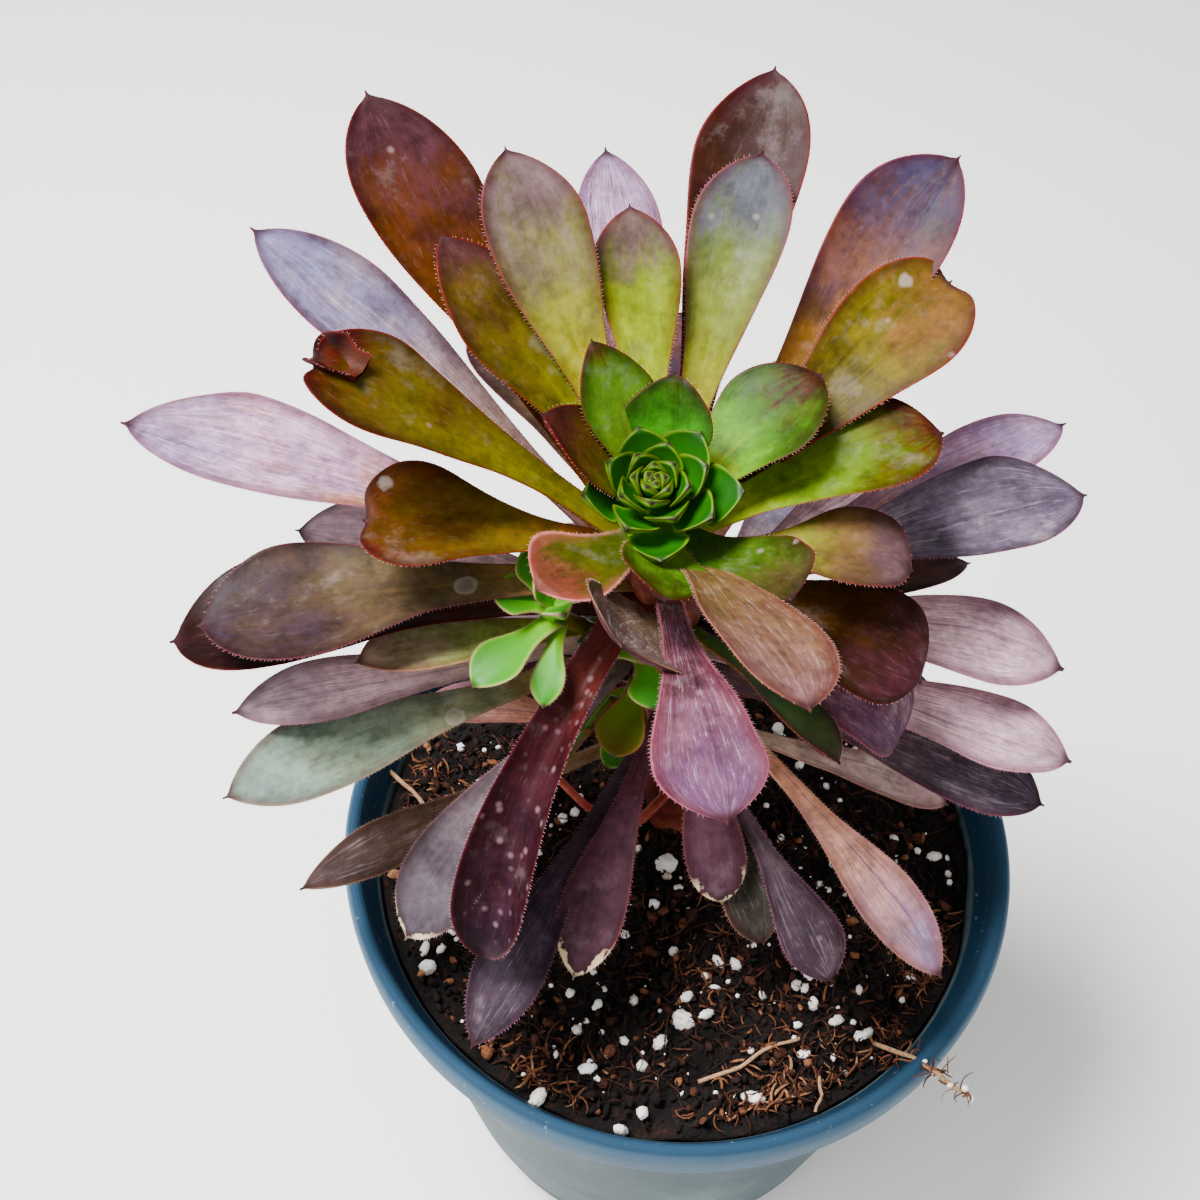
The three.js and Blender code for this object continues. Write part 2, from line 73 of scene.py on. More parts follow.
studio = {
    "aim": (0, 0, 0.17), "worldLight": 0.6,
    "lamps": [
        {"name": "overhead", "at": (-0.45, 0.1, 1.15), "size": 0.5, "power": 46},
        {"name": "leftFront", "at": (-0.85, -0.55, 0.85), "size": 0.7, "power": 7},
        {"name": "rightFront", "at": (0.8, -0.5, 0.7), "size": 0.7, "power": 4},
    ],
}


def addLamps():
    for spec in studio["lamps"]:
        light = bpy.data.lights.new(spec["name"], "AREA")
        light.shape, light.size, light.energy = "DISK", spec["size"], spec["power"]
        back = unit(np.subtract(spec["at"], studio["aim"]))
        side = unit(np.cross([0, 0, 1], back))
        linked(spec["name"], light, [side, np.cross(back, side), back, spec["at"]])
    world = bpy.data.worlds.new("studio")
    world.use_nodes = True
    background = world.node_tree.nodes["Background"].inputs
    background["Color"].default_value = (1, 1, 1, 1)
    background["Strength"].default_value = studio["worldLight"]
    bpy.context.scene.world = world


def rgb(code, deep=1.0, rich=1.0):
    # colour from its six-figure web code, made linear; deep over 1 darkens it, rich over 1 saturates it
    raw = np.array([int(code[i:i + 2], 16) for i in (0, 2, 4)]) / 255
    linear = np.where(raw < 0.04, raw / 12.92, ((raw + 0.055) / 1.055) ** 2.4) ** deep
    linear = np.clip(linear.mean() + (linear - linear.mean()) * rich, 0.0005, 1)
    return (*linear.tolist(), 1.0)


class Wire:    # a socket that can be added and multiplied
    def __init__(self, paint, socket):
        self.paint, self.socket = paint, socket

    def also(self, output):
        return Wire(self.paint, self.socket.node.outputs[output])

    def math(self, operation, first, second):
        return self.paint.node("ShaderNodeMath", {"operation": operation}, {0: first, 1: second})

    def __add__(self, other): return self.math("ADD", self, other)
    def __radd__(self, other): return self.math("ADD", other, self)
    def __sub__(self, other): return self.math("SUBTRACT", self, other)
    def __rsub__(self, other): return self.math("SUBTRACT", other, self)
    def __mul__(self, other): return self.math("MULTIPLY", self, other)
    def __rmul__(self, other): return self.math("MULTIPLY", other, self)
    def __pow__(self, other): return self.math("POWER", self, other)
    def __lt__(self, other): return self.math("LESS_THAN", self, other)
    def __abs__(self): return self.math("ABSOLUTE", self, 0.0)

    def ease(self, low, high):
        # 0 below low, 1 above high, smooth between; low may be the higher number
        inputs = {"Value": self, "From Min": low, "From Max": high}
        return self.paint.node("ShaderNodeMapRange", {"interpolation_type": "SMOOTHSTEP"}, inputs)


class Paint:    # a material: the marks, patterns and layers of its colour, roughness and relief
    def __init__(self, name, gloss=0.5):
        self.material = bpy.data.materials.new(name)
        self.material.use_nodes = True
        self.tree = self.material.node_tree
        self.shader = self.tree.nodes["Principled BSDF"]
        self.shader.inputs["Specular IOR Level"].default_value = gloss
        self.place = self.node("ShaderNodeTexCoord", output="Object")

    def node(self, kind, settings=None, inputs=None, output=0):
        made = self.tree.nodes.new(kind)
        for key, value in (settings or {}).items():
            if key == "stops":
                ramp = made.color_ramp.elements
                while len(ramp) < len(value):
                    ramp.new(0.5)
                for stop, (at, colour) in zip(ramp, value):
                    stop.position, stop.color = at, colour
            else:
                setattr(made, key, value)
        for key, value in (inputs or {}).items():
            self.feed(made.inputs[key], value)
        return Wire(self, made.outputs[output])

    def feed(self, socket, value):
        if isinstance(value, Wire):
            self.tree.links.new(value.socket, socket)
        else:
            socket.default_value = value

    def marks(self, names):
        kind = "ShaderNodeAttribute"
        return [self.node(kind, {"attribute_name": name}, output="Fac") for name in names.split()]

    def noise(self, scale, detail=3.0, vector=None, rough=0.5):
        inputs = {"Vector": vector or self.place, "Scale": scale, "Detail": detail, "Roughness": rough}
        return self.node("ShaderNodeTexNoise", {}, inputs)

    def cells(self, scale, vector=None, output="Distance"):
        return self.node("ShaderNodeTexVoronoi", {}, {"Vector": vector or self.place, "Scale": scale}, output)

    def ramp(self, value, stops, codes, deep=1.0, rich=1.0):
        pairs = [(at, rgb(code, deep, rich)) for at, code in zip(stops, codes.split())]
        return self.node("ShaderNodeValToRGB", {"stops": pairs}, {"Fac": value})

    def mix(self, share, first, second):
        return self.node("ShaderNodeMix", {"data_type": "RGBA"}, {0: share, 6: first, 7: second}, 2)

    def layered(self, colour, *layers):
        # each layer is a share and the colour that it lays over what is below
        for share, over in layers:
            colour = self.mix(share, colour, over)
        return colour

    def brighten(self, colour, value):
        return self.node("ShaderNodeHueSaturation", {}, {"Color": colour, "Value": value})

    def shifted(self, vector, amount):
        return self.node("ShaderNodeVectorMath", {"operation": "ADD"}, {0: vector, 1: amount})

    def joinXyz(self, x, y, z):
        return self.node("ShaderNodeCombineXYZ", {}, {"X": x, "Y": y, "Z": z})

    def splitXyz(self, vector):
        first = self.node("ShaderNodeSeparateXYZ", {}, {"Vector": vector})
        return first, first.also("Y"), first.also("Z")

    def coat(self, colour, roughness, height=None, strength=1.0, depth=0.001):
        self.feed(self.shader.inputs["Base Color"], colour)
        self.feed(self.shader.inputs["Roughness"], roughness)
        if height is not None:
            inputs = {"Height": height, "Strength": strength, "Distance": depth}
            self.feed(self.shader.inputs["Normal"], self.node("ShaderNodeBump", {}, inputs))
        return self


def smooth(x):
    x = np.clip(x, 0, 1)
    return x * x * (3 - 2 * x)


def eased(x, start, end):
    # 0 before start, 1 after end, smooth between
    return smooth((x - start) / (end - start))


def between(at, where, points):
    # points that stand at the numbers `where`, read off at the numbers `at`
    return np.stack([np.interp(at, where, column) for column in np.asarray(points, float).T], -1)


def bentLine(corners, count):
    # straight stretches from corner to corner, with evenly many points on each
    return between(np.linspace(0, len(corners) - 1, count), np.arange(len(corners)), corners)


def turned(profile, around):
    # each (r, z) of the profile carried round the axis as a ring
    phi = np.linspace(0, 2 * np.pi, around, endpoint=False)
    r, z = np.asarray(profile, float).T[:, :, None]
    return np.stack([r * np.cos(phi), r * np.sin(phi), z + 0 * phi], -1)


def heading(a, e):
    # the direction with heading a and slope e, and the level direction to its left
    ahead = np.stack([np.cos(a) * np.cos(e), np.sin(a) * np.cos(e), np.sin(e)], -1)
    return ahead, np.stack([-np.sin(a), np.cos(a), 0 * a], -1)


def ringsAt(points, radius, b, c, sides):
    # a ring round each point: p + radius * (cos(phi) * b + sin(phi) * c)
    phi = np.linspace(0, 2 * np.pi, sides, endpoint=False)[:, None]
    out = np.cos(phi) * b[..., None, :] + np.sin(phi) * c[..., None, :]
    return points[..., None, :] + np.asarray(radius, float)[..., None, None] * out


def noiseAt(x, y, seed, size=64):
    # smooth noise from -1 to 1: random values at whole numbers, eased between them
    table = np.random.default_rng(seed).uniform(-1, 1, (size, size))
    x, y = np.broadcast_arrays(np.asarray(x, float), np.asarray(y, float))
    i, j = np.floor(x).astype(int), np.floor(y).astype(int)
    u, v = smooth(x - i), smooth(y - j)
    left, right, low, high = i % size, (i + 1) % size, j % size, (j + 1) % size
    near = table[left, low] * (1 - u) + table[right, low] * u
    far = table[left, high] * (1 - u) + table[right, high] * u
    return near * (1 - v) + far * v


def shapeOf(points, quads=(), tris=(), **marks):
    # points, faces, and marks: one number for each point, which the paints read
    points = np.asarray(points, float).reshape(-1, 3)
    return {
        "points": points,
        "quads": np.asarray(quads, int).reshape(-1, 4),
        "tris": np.asarray(tris, int).reshape(-1, 3),
        "marks": {k: np.broadcast_to(np.ravel(v).astype(float), len(points)) for k, v in marks.items()},
    }


def joined(shapes):
    counts = [len(s["points"]) for s in shapes]
    starts = np.cumsum([0] + counts)
    names = sorted(set().union(*[s["marks"] for s in shapes]))
    marks = {n: [s["marks"].get(n, np.zeros(count)) for s, count in zip(shapes, counts)] for n in names}
    return {
        "points": np.concatenate([s["points"] for s in shapes]),
        "quads": np.concatenate([s["quads"] + at for s, at in zip(shapes, starts)]),
        "tris": np.concatenate([s["tris"] + at for s, at in zip(shapes, starts)]),
        "marks": {n: np.concatenate(values) for n, values in marks.items()},
    }


def closedGrid(grid, **marks):
    # rings of points, closed round and capped at both ends with a fan to a middle point
    rings, around = grid.shape[:2]
    r, k = np.meshgrid(np.arange(rings - 1), np.arange(around), indexing="ij")
    a, b = r * around + k, r * around + (k + 1) % around
    quads = np.stack([a, b, b + around, a + around], -1).reshape(-1, 4)
    turn = np.arange(around)
    after = (turn + 1) % around
    first, last = np.full(around, rings * around), np.full(around, rings * around + 1)
    end = (rings - 1) * around
    tris = np.concatenate([np.stack([first, after, turn], -1), np.stack([last, end + turn, end + after], -1)])
    points = np.concatenate([grid.reshape(-1, 3), grid[:1].mean(1), grid[-1:].mean(1)])
    full = {}
    for name, value in marks.items():
        value = np.broadcast_to(value, (rings, around))
        full[name] = np.concatenate([value.ravel(), value[:1].mean(1), value[-1:].mean(1)])
    return shapeOf(points, quads, tris, **full)


def meshOf(name, shape):
    mesh = bpy.data.meshes.new(name)
    mesh.from_pydata(shape["points"] * mm, [], shape["quads"].tolist() + shape["tris"].tolist())
    return mesh


def addPiece(name, shape, paint, nodes=()):
    mesh = meshOf(name, shape)
    for mark, values in shape["marks"].items():
        mesh.attributes.new(mark, "FLOAT", "POINT").data.foreach_set("value", values.astype(np.float32))
    mesh.polygons.foreach_set("use_smooth", np.full(len(mesh.polygons), True))
    mesh.materials.append(paint.material)
    mesh.update()
    piece = linked(name, mesh)
    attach(piece, "root")
    if nodes:
        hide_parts(*nodes)
    return piece


def tube(points, radius, around=8, **marks):
    # a round section carried along points; radius is one number or one for each point
    points = np.asarray(points, float)
    along = unit(np.gradient(points, axis=0))
    level = np.where(np.abs(along[:, 2:]) > 0.9, [[0.0, 1.0, 0.0]], [[0.0, 0.0, 1.0]])
    b = unit(np.cross(level, along))
    return closedGrid(ringsAt(points, radius, b, np.cross(along, b), around), **marks)


# Middle line of the stem, from the buried end to the heart
stemLine = np.array([
    (1, 8, 85), (1, 8, 120), (-1, 9, 155), (-5, 8, 190), (-8, 5, 215), (-10, 0, 235), (-11, -2.5, 245),
], float)


def stemAt(z):
    return between(z, stemLine[:, 2], stemLine)


plainLeaf = {
    "root": None,                     # where it starts, mm, or on the stem at its height z
    "yaw": 0, "roll": 0, "curl": 0,   # degrees it turns sideways, about its own line, and down at its end
    "lean": 0, "notch": 0,            # how far its end is moved sideways and cut in, mm
    "cup": 0.25, "channel": 0.35,     # how much its sides rise, all along and in its narrow part
    "wide": 0.8, "neck": 0.26,        # where it is widest, and how wide its stalk is, as shares
    "slim": 1.5, "blunt": 2.2,        # higher: the narrow part is longer, the end is rounder
    "crisp": 0.78,                    # 0.5 is a half-round end, 1 a pointed one
    "thin": 1,                        # its thickness as a share of the usual one
    "uneven": 0.07,                   # how much each half's width varies, as a share
    "wave": 0.5, "wrinkle": 0.12,     # waves of the margin and lengthwise wrinkles, mm
}
bladeShape = {
    "blade": 1.9, "petiole": 3.2, "margin": 0.7, "tip": 0.15,    # thickness of its parts, mm
    "stalk": 0.14, "end": 0.99, "pointWidth": 0.2, "pointLength": 0.05,    # shares of length and half width
    "full": 0.6,          # 1 is a lens with sharp sides, less is a fuller one
    "thinEnd": 0.75,      # how much thinner the end is, as a share
    "notchWidth": 0.175,
    "crowded": 1.4,       # over 1, rings lie closer towards the tip
    "steps": 240,
}
marginHair = {
    "gap": 0.65, "cover": 0.88, "length": 0.6, "radius": 0.05, "sizes": (0.6, 1.15),
    "start": 0.1, "span": 0.885, "forward": 0.45, "astray": 0.25, "uneven": 0.3,
}


def outline(s, leaf):
    # half width as a share: a narrow stalk that widens to `wide`, then a round end with a small point
    stalk, neck, wide = bladeShape["stalk"], leaf["neck"], leaf["wide"]
    blade = neck + (1 - neck) * smooth((np.maximum(0, s - stalk) / (wide - stalk)) ** leaf["slim"])
    u = np.clip((s - wide) / (bladeShape["end"] - wide), 0, 1)
    end = (1 - u ** leaf["blunt"]) ** leaf["crisp"]
    point = bladeShape["pointWidth"] * np.minimum(1, (1 - s) / bladeShape["pointLength"])
    return np.maximum(blade * end, point)


def leafFrame(leaf, s):
    # direction t along the leaf, side b and upper face n at shares s of its length
    e = np.radians(leaf["rise"] + leaf["bend"] * (0.5 - s) - leaf["curl"] * eased(s, 0.7, 1))
    a = np.radians(leaf["az"] + leaf["yaw"] * (s - 0.5))
    t, side = heading(a, e)
    turn = np.radians(leaf["roll"] * eased(s, 0, 0.6))[:, None]
    b = side * np.cos(turn) + np.cross(t, side) * np.sin(turn)
    return t, b, np.cross(t, b)


def leafLine(leaf, s):
    # the middle line: the direction summed over small steps from the root, on the stem unless it is given
    steps, root = bladeShape["steps"], leaf["root"] or stemAt(leaf["z"])
    t, _, _ = leafFrame(leaf, (np.arange(steps) + 0.5) / steps)
    walked = root + np.concatenate([np.zeros((1, 3)), np.cumsum(t, 0)]) * leaf["length"] / steps
    return between(s, np.linspace(0, 1, len(walked)), walked)


def leafShape(special, seed, rings=60, around=36, hairs=True):
    # a lens-shaped section, w = half * cos(phi) wide and thickness * |sin(phi)|^full thick, carried along
    # the middle line; the section's sides rise by cup * v^2, and waves and wrinkles move both faces alike
    leaf = {**plainLeaf, **special}
    s = 1 - (1 - np.linspace(0, 1, rings)) ** bladeShape["crowded"]
    phi = np.linspace(0, 2 * np.pi, around, endpoint=False)[None]
    v, face = np.cos(phi), np.sign(np.sin(phi)) * np.abs(np.sin(phi)) ** bladeShape["full"]
    t, b, n = leafFrame(leaf, s)
    line = leafLine(leaf, s)
    half = np.maximum(bladeShape["tip"], leaf["width"] / 2 * outline(s, leaf))[:, None]
    share, run = s[:, None], s[:, None] * leaf["length"]
    body = bladeShape["petiole"] + (bladeShape["blade"] - bladeShape["petiole"]) * eased(share, 0, 0.5)
    thick = leaf["thin"] * (bladeShape["margin"] + (body - bladeShape["margin"]) * (1 - v * v))
    thick = thick * (1 - bladeShape["thinEnd"] * eased(share, 0.93, 1))
    sides = noiseAt(share * 6, np.sign(v) * 2.5 + 9, seed + 2)
    w = half * v * (1 + leaf["uneven"] * eased(share, 0.3, 0.6) * sides)
    inner = np.exp(-((w / bladeShape["notchWidth"] / leaf["width"]) ** 2))
    back = leaf["notch"] * eased(share, 0.82, 1) * inner
    spread = eased(share, 0.2, 0.5)
    wave = leaf["wave"] * spread * v * v * noiseAt(run / 9, v * 1.4 + 7, seed)
    wrinkle = leaf["wrinkle"] * spread * noiseAt(run / 14 + v, w / 1.5, seed + 1) * (1 - v ** 6)
    channel = leaf["channel"] * half * np.abs(v) ** 1.5 * (1 - eased(share, 0, 0.55))
    up = leaf["cup"] * half * v * v + channel + face * thick / 2 + wave + wrinkle
    aside = w + leaf["lean"] * eased(share, 0.45, 1)
    t, b, upward = t[:, None], b[:, None], n[:, None]
    grid = line[:, None] - back[..., None] * t + aside[..., None] * b + up[..., None] * upward
    tone = np.random.default_rng(seed).uniform()
    rim = half * (1 - np.abs(v))
    blade = closedGrid(grid, along=share, across=v, rim=rim, under=(face < 0) * 1.0, tone=tone, hair=0.0)
    if not hairs:
        return blade
    return joined([blade] + [marginHairs(grid, n, s, leaf, k, tone, seed) for k in (0, around // 2)])


def marginHairs(grid, n, s, leaf, column, tone, seed):
    # short tapered hairs along one margin, each a thin pyramid that points away from the blade
    edge = grid[:, column]
    count = int(leaf["length"] * marginHair["cover"] / marginHair["gap"])
    draw = np.random.default_rng(seed + 10 + column)
    uneven, astray = marginHair["uneven"], marginHair["astray"]
    step = (np.arange(count) + draw.uniform(-uneven, uneven, count)) / count
    at = marginHair["start"] + marginHair["span"] * step
    root, tangent, upward = [between(at, s, values) for values in (edge, np.gradient(edge, axis=0), n)]
    out = unit(np.cross(tangent, upward)) * (-1 if column == 0 else 1)
    out = out + unit(tangent) * marginHair["forward"] + upward * draw.uniform(-astray, astray, (count, 1))
    out = unit(out)
    p = np.cross(upward, out)
    ring = ringsAt(root, marginHair["radius"], p, np.cross(out, p), 3)
    size = marginHair["length"] * draw.uniform(*marginHair["sizes"], (count, 1))
    points = np.concatenate([ring, (root + out * size)[:, None]], 1)
    tris = np.array([(0, 1, 3), (1, 2, 3), (2, 0, 3), (0, 2, 1)]) + 4 * np.arange(count)[:, None, None]
    along = np.repeat(at, 4)
    return shapeOf(points, (), tris, along=along, across=1.0, rim=0.0, under=0.0, tone=tone, hair=1.0)


plainLook = {
    "spots": 0.05, "beads": 0.02,    # shares of water marks and of specks
    "wrinkle": 0, "bloom": 0.1,      # how strong its wrinkle lines, in relief and as painted shade and highlights, and its pale dusty glaze are
    "band": 0.5,                     # width of the thin line at the margin, mm
    "dry": None,                     # where along the leaf a dead margin starts, and its width, mm
    "deep": 1.5, "rich": 1.45,       # over 1: darker and more saturated than its codes
}


def look(codes, **special):
    # four web codes from the root to the tip, then the margin's; and where it differs from a plain look
    return {**plainLook, "codes": codes, **special}


looks = {
    "fireMaroon": look("a08420 88681a 684a28 5a4448 842c38", spots=0.12),
    "sage": look("cfc410 a4a43c 8e8a70 887c7c 985058", spots=0.08, rich=1.4, deep=1.65),
    "paleLime": look("a8b410 9ca43c 8c9458 7c706c 9c5850", rich=1.4, deep=1.65),
    "bronze": look("a8a80c 787820 6a5e38 604a48 8c3a38", spots=0.08),
    "roseOlive": look("c48c14 846430 604a34 584448 944a4c", spots=0.1, rich=1.3, deep=1.75),
    "plumOlive": look("b89a20 a48650 8a6e68 686074 98586a", rich=1.1, deep=1.85),
    "amber": look("585004 645c0c 7c7430 80684c 98484c", spots=0.2, deep=1.6, rich=1.25),
    "amberDark": look("98940c 7c780e 645818 58342c 842c30", spots=0.2, deep=1.5),
    "cocoa": look("c08410 80741c 685428 5c3a34 843838", spots=0.3),
    "lime": look("bcc408 8ca00c 707820 604434 8c3c3c", deep=1.65, rich=1.6),
    "leafGreen": look("b0b808 7c900c 647c10 584820 743430", deep=1.6, rich=1.6),
    "heartGreen": look("a0bc08 649808 547c10 4c5018 743430", deep=1.6),
    "umberGreen": look("88a020 78742c 64543a 583c38 7c2c30"),
    "heartOlive": look("587014 58781c 5c6c2c 605844 844440", spots=0.1, deep=1.6),
    "olivePink": look("8c9818 788024 74743c 906c60 c89490", rich=1.2, band=1.0, deep=1.9),
    "umber": look("b49c64 84785c 6a5a50 564850 7c4c58", spots=0.35, rich=1.1, deep=1.6),
    "darkOlive": look("7c640c 645020 54402a 543c40 6c3834", spots=0.1),
    "dusk": look("d39d82 c5aaa1 afa1af 948fac 9c6478", wrinkle=0.45, bloom=0.3, rich=1.0),
    "ash": look("8c7074 846c74 786874 685a6a 8c6070", wrinkle=0.5, rich=0.9, deep=1.4),
    "blush": look("d8945f d8a586 cfaec2 b5a1be b0829a", wrinkle=1.1, rich=1.0, deep=1.5),
    "rose": look("e8c4b4 e8c8c8 dcb8c2 b89ca8 c09aa8", wrinkle=1.1, rich=0.95, deep=1.3),
    "oldRose": look("e8c4b4 e8c4c4 dcb8c0 b8a0ac a88490", wrinkle=0.7, rich=0.95, deep=1.05),
    "mauveBrown": look("6c5c20 7c6838 8a6e58 8c6c6a a4786c", wrinkle=0.25, rich=1.0),
    "tan": look("a88c64 98846a 847064 6c5c5c 9c8474", wrinkle=0.35, rich=1.0),
    "tanPink": look("c88b5c f0bb98 f4c5b8 aa95af c8a098", wrinkle=0.7, rich=1.0),
    "orchid": look("4c3028 644048 987080 80607c b07a88", wrinkle=0.4, bloom=0.3, rich=0.95, deep=1.55),
    "wine": look("74382c 602c34 54303c 503448 7c4450", rich=0.9, beads=0.5),
    "ember": look("70483a 60382e 4c2824 3c1e1c 7c3c38", rich=1.1, spots=0.1),
    "plum": look("7c6468 746068 6a5864 604e5a 8c6c7c", wrinkle=0.3, rich=0.9, deep=1.4),
    "nightPlum": look("6c5464 64505f 5c4a5c 54444f 745468", wrinkle=0.15, deep=1.4, rich=0.85),
    "greyGreen": look("ac8c5c 9c9c80 8c9a8c 808c88 a08878", spots=0.15, bloom=0.2, rich=1.0),
    "moss": look("74684e 706c5c 6a665a 605a54 947468", wrinkle=0.2, rich=0.9),
    "cream": look("d8b090 e4c8b4 e4c8c0 c8a4a4 c09890", wrinkle=0.5, rich=0.9, deep=1.2),
    "copper": look("c09410 8c9030 806c50 6c5a5c 844444", spots=0.08, rich=1.2),
    "slate": look("a28782 94828e 87798e 6f6174 7c4c60", wrinkle=0.35, bloom=0.35, rich=0.85, deep=1.4),
    "fern": look("647c30 648048 5c7044 584840 844c44", rich=1.2, deep=1.6),
    "freshLime": look("c8c808 8ca40c 6c8414 604c1c 743430", deep=1.85, rich=1.9),
    "sageBlue": look("b4ac08 8c9024 7a825a 6c6c72 9c5c68", spots=0.08, rich=1.3, deep=1.6),
    "paleFern": look("a0b440 a0ac58 a0a470 a89484 b89080", rich=1.2, deep=1.2),
    "driedDusk": look("907870 84747a 7c6e76 706670 8c6c74", dry=(0.9, 1.2), rich=0.8),
    "driedWine": look("80545c 785060 6c4c5a 644854 8c5c60", dry=(0.84, 1.0), deep=1.4, rich=0.95),
}


def leafPaint(name, look):
    # colours along the leaf, moved about by patches; then mottling, painted shade and highlights along the
    # wrinkle lines and a fold, a dark zone and a thin line at the margin, water marks and the dark point
    wrinkle, deep, rich = look["wrinkle"], look["deep"], look["rich"]
    first, _, _, last, margin = look["codes"].split()
    dark = rgb(last, deep * 1.35, rich)
    paint = Paint(name, 0.06)
    along, across, rim, under, hair, tone = paint.marks("along across rim under hair tone")

    # patterns of 0 to 1, from broad patches to fine grain, and three that run along the leaf
    patch = paint.noise(52, 4, rough=0.6).ease(0.25, 0.75)
    blot = paint.noise(105, 5, rough=0.65)
    mottle = paint.noise(190, 4, rough=0.62).ease(0.3, 0.7)
    grain = paint.noise(650, 3).ease(0.25, 0.75)
    far = tone * 40    # each leaf reads another part of the noise
    streak = paint.noise(1, 4, paint.joinXyz(along * 6, across * 8, far), 0.6).ease(0.25, 0.75)
    lines = paint.noise(1, 5, paint.joinXyz(along * 7 + tone * 9, across * 12 + blot * 2, far + 7), 0.65)
    strokes = paint.noise(1, 4, paint.joinXyz(along * 24 + blot * 4, across * 17 + mottle, far + 3), 0.7)
    # painted shade: a dark line along a fold near the middle of the leaf
    creaseShade = abs(across - 0.1 + (blot - 0.5) * 0.5 + (tone - 0.5) * 0.5).ease(0.07, 0.0)
    creaseShade = creaseShade * along.ease(0.15, 0.35)
    midrib = abs(across).ease(0.1, 0.0) * along.ease(0.75, 0.15)

    # the skin's own colours, painted shade and highlights along its wrinkles and a fold, then lighter and
    # darker at random
    shade = along + (patch - 0.5) * 0.26 + (streak - 0.5) * 0.14 + (mottle - 0.5) * 0.08
    skin = paint.layered(
        paint.ramp(shade, (0.12, 0.44, 0.72, 0.96), look["codes"], deep, rich),
        (blot.ease(0.5, 0.64) * along.ease(0.12, 0.5) * 0.4, dark),
        (blot.ease(0.44, 0.3) * look["bloom"], rgb("bcb0b2", 1.4)),
        # painted shade: dark lines in the wrinkles' valleys and along the fold near the middle
        (lines.ease(0.5, 0.66) * (0.6 * wrinkle), dark),
        (strokes.ease(0.5, 0.72) * min(0.8, 0.12 + 0.6 * wrinkle), dark),
        (creaseShade * min(0.8, wrinkle), dark),
        # painted highlights: pale lines on the wrinkles' ridges
        (lines.ease(0.44, 0.3) * (0.4 * wrinkle), rgb("ece2e2")),
        (strokes.ease(0.46, 0.24) * (0.03 + 0.42 * wrinkle), rgb("ece0e0")),
    )
    skin = paint.brighten(skin, 0.3 + 0.5 * mottle + 0.3 * streak + 0.3 * grain + 0.16 * tone)

    # what lies on it: water marks are cells cut to a disc, by chance, and specks are smaller ones
    spot, speck = paint.cells(88, paint.shifted(paint.place, mottle * 0.0006)), paint.cells(380)
    chance, other, _ = paint.splitXyz(spot.also("Color"))
    fleck, _, _ = paint.splitXyz(speck.also("Color"))
    inside = spot - (0.1 + 0.1 * other)
    mark = inside.ease(0.025, -0.025) * (chance < look["spots"]) * (1 - under)
    skin = paint.layered(
        skin,
        (rim.ease(3.4, 0.2) * 0.62 * along.ease(0.25, 0.8), rgb(margin, 3.0, 0.9)),
        (under * 0.5, rgb("744a50", 1.5, 1.2)),
        (midrib * 0.3, rgb(first, deep, rich)),
        (mark * (inside.ease(-0.09, 0.0) * 0.5 + 0.5) * 0.26, rgb("c8bdb4")),
        (speck.ease(0.36, 0.05) * (fleck < look["beads"]) * 0.2, rgb("c8a0a8")),
        (rim.ease(look["band"], 0.06) * (0.35 + 0.45 * grain), rgb(margin, 1.5, 1.2)),
    )
    if look["dry"]:
        start, width = look["dry"]
        dead = (rim + (grain - 0.5) * 1.2 + (mottle - 0.5) * 1.8).ease(width, width * 0.45)
        skin = paint.mix(dead * along.ease(start, start + 0.08), skin, rgb("ccb490"))
    skin = paint.layered(skin, (along.ease(0.962, 0.99) * 0.8, rgb("2c161a")), (hair * 0.6, rgb("d8b0ac")))
    folds = lines * (0.2 + 1.2 * wrinkle) + strokes * (0.05 + 0.6 * wrinkle)
    height = folds + mottle * 0.16 + grain * 0.08 + patch * 0.15
    rough = 0.36 + 0.14 * mottle + 0.1 * mark + 0.1 * under
    return paint.coat(skin, rough, height, 0.4 + 0.4 * wrinkle, 0.0006)


def row(z, az, rise, bend, length, width, look, **special):
    # a leaf: root height on the stem, direction, mean rise, droop, length, width, its look, what is special
    sizes = {"z": z, "az": az, "rise": rise, "bend": bend, "length": length, "width": width}
    return {**sizes, "look": look, **special}


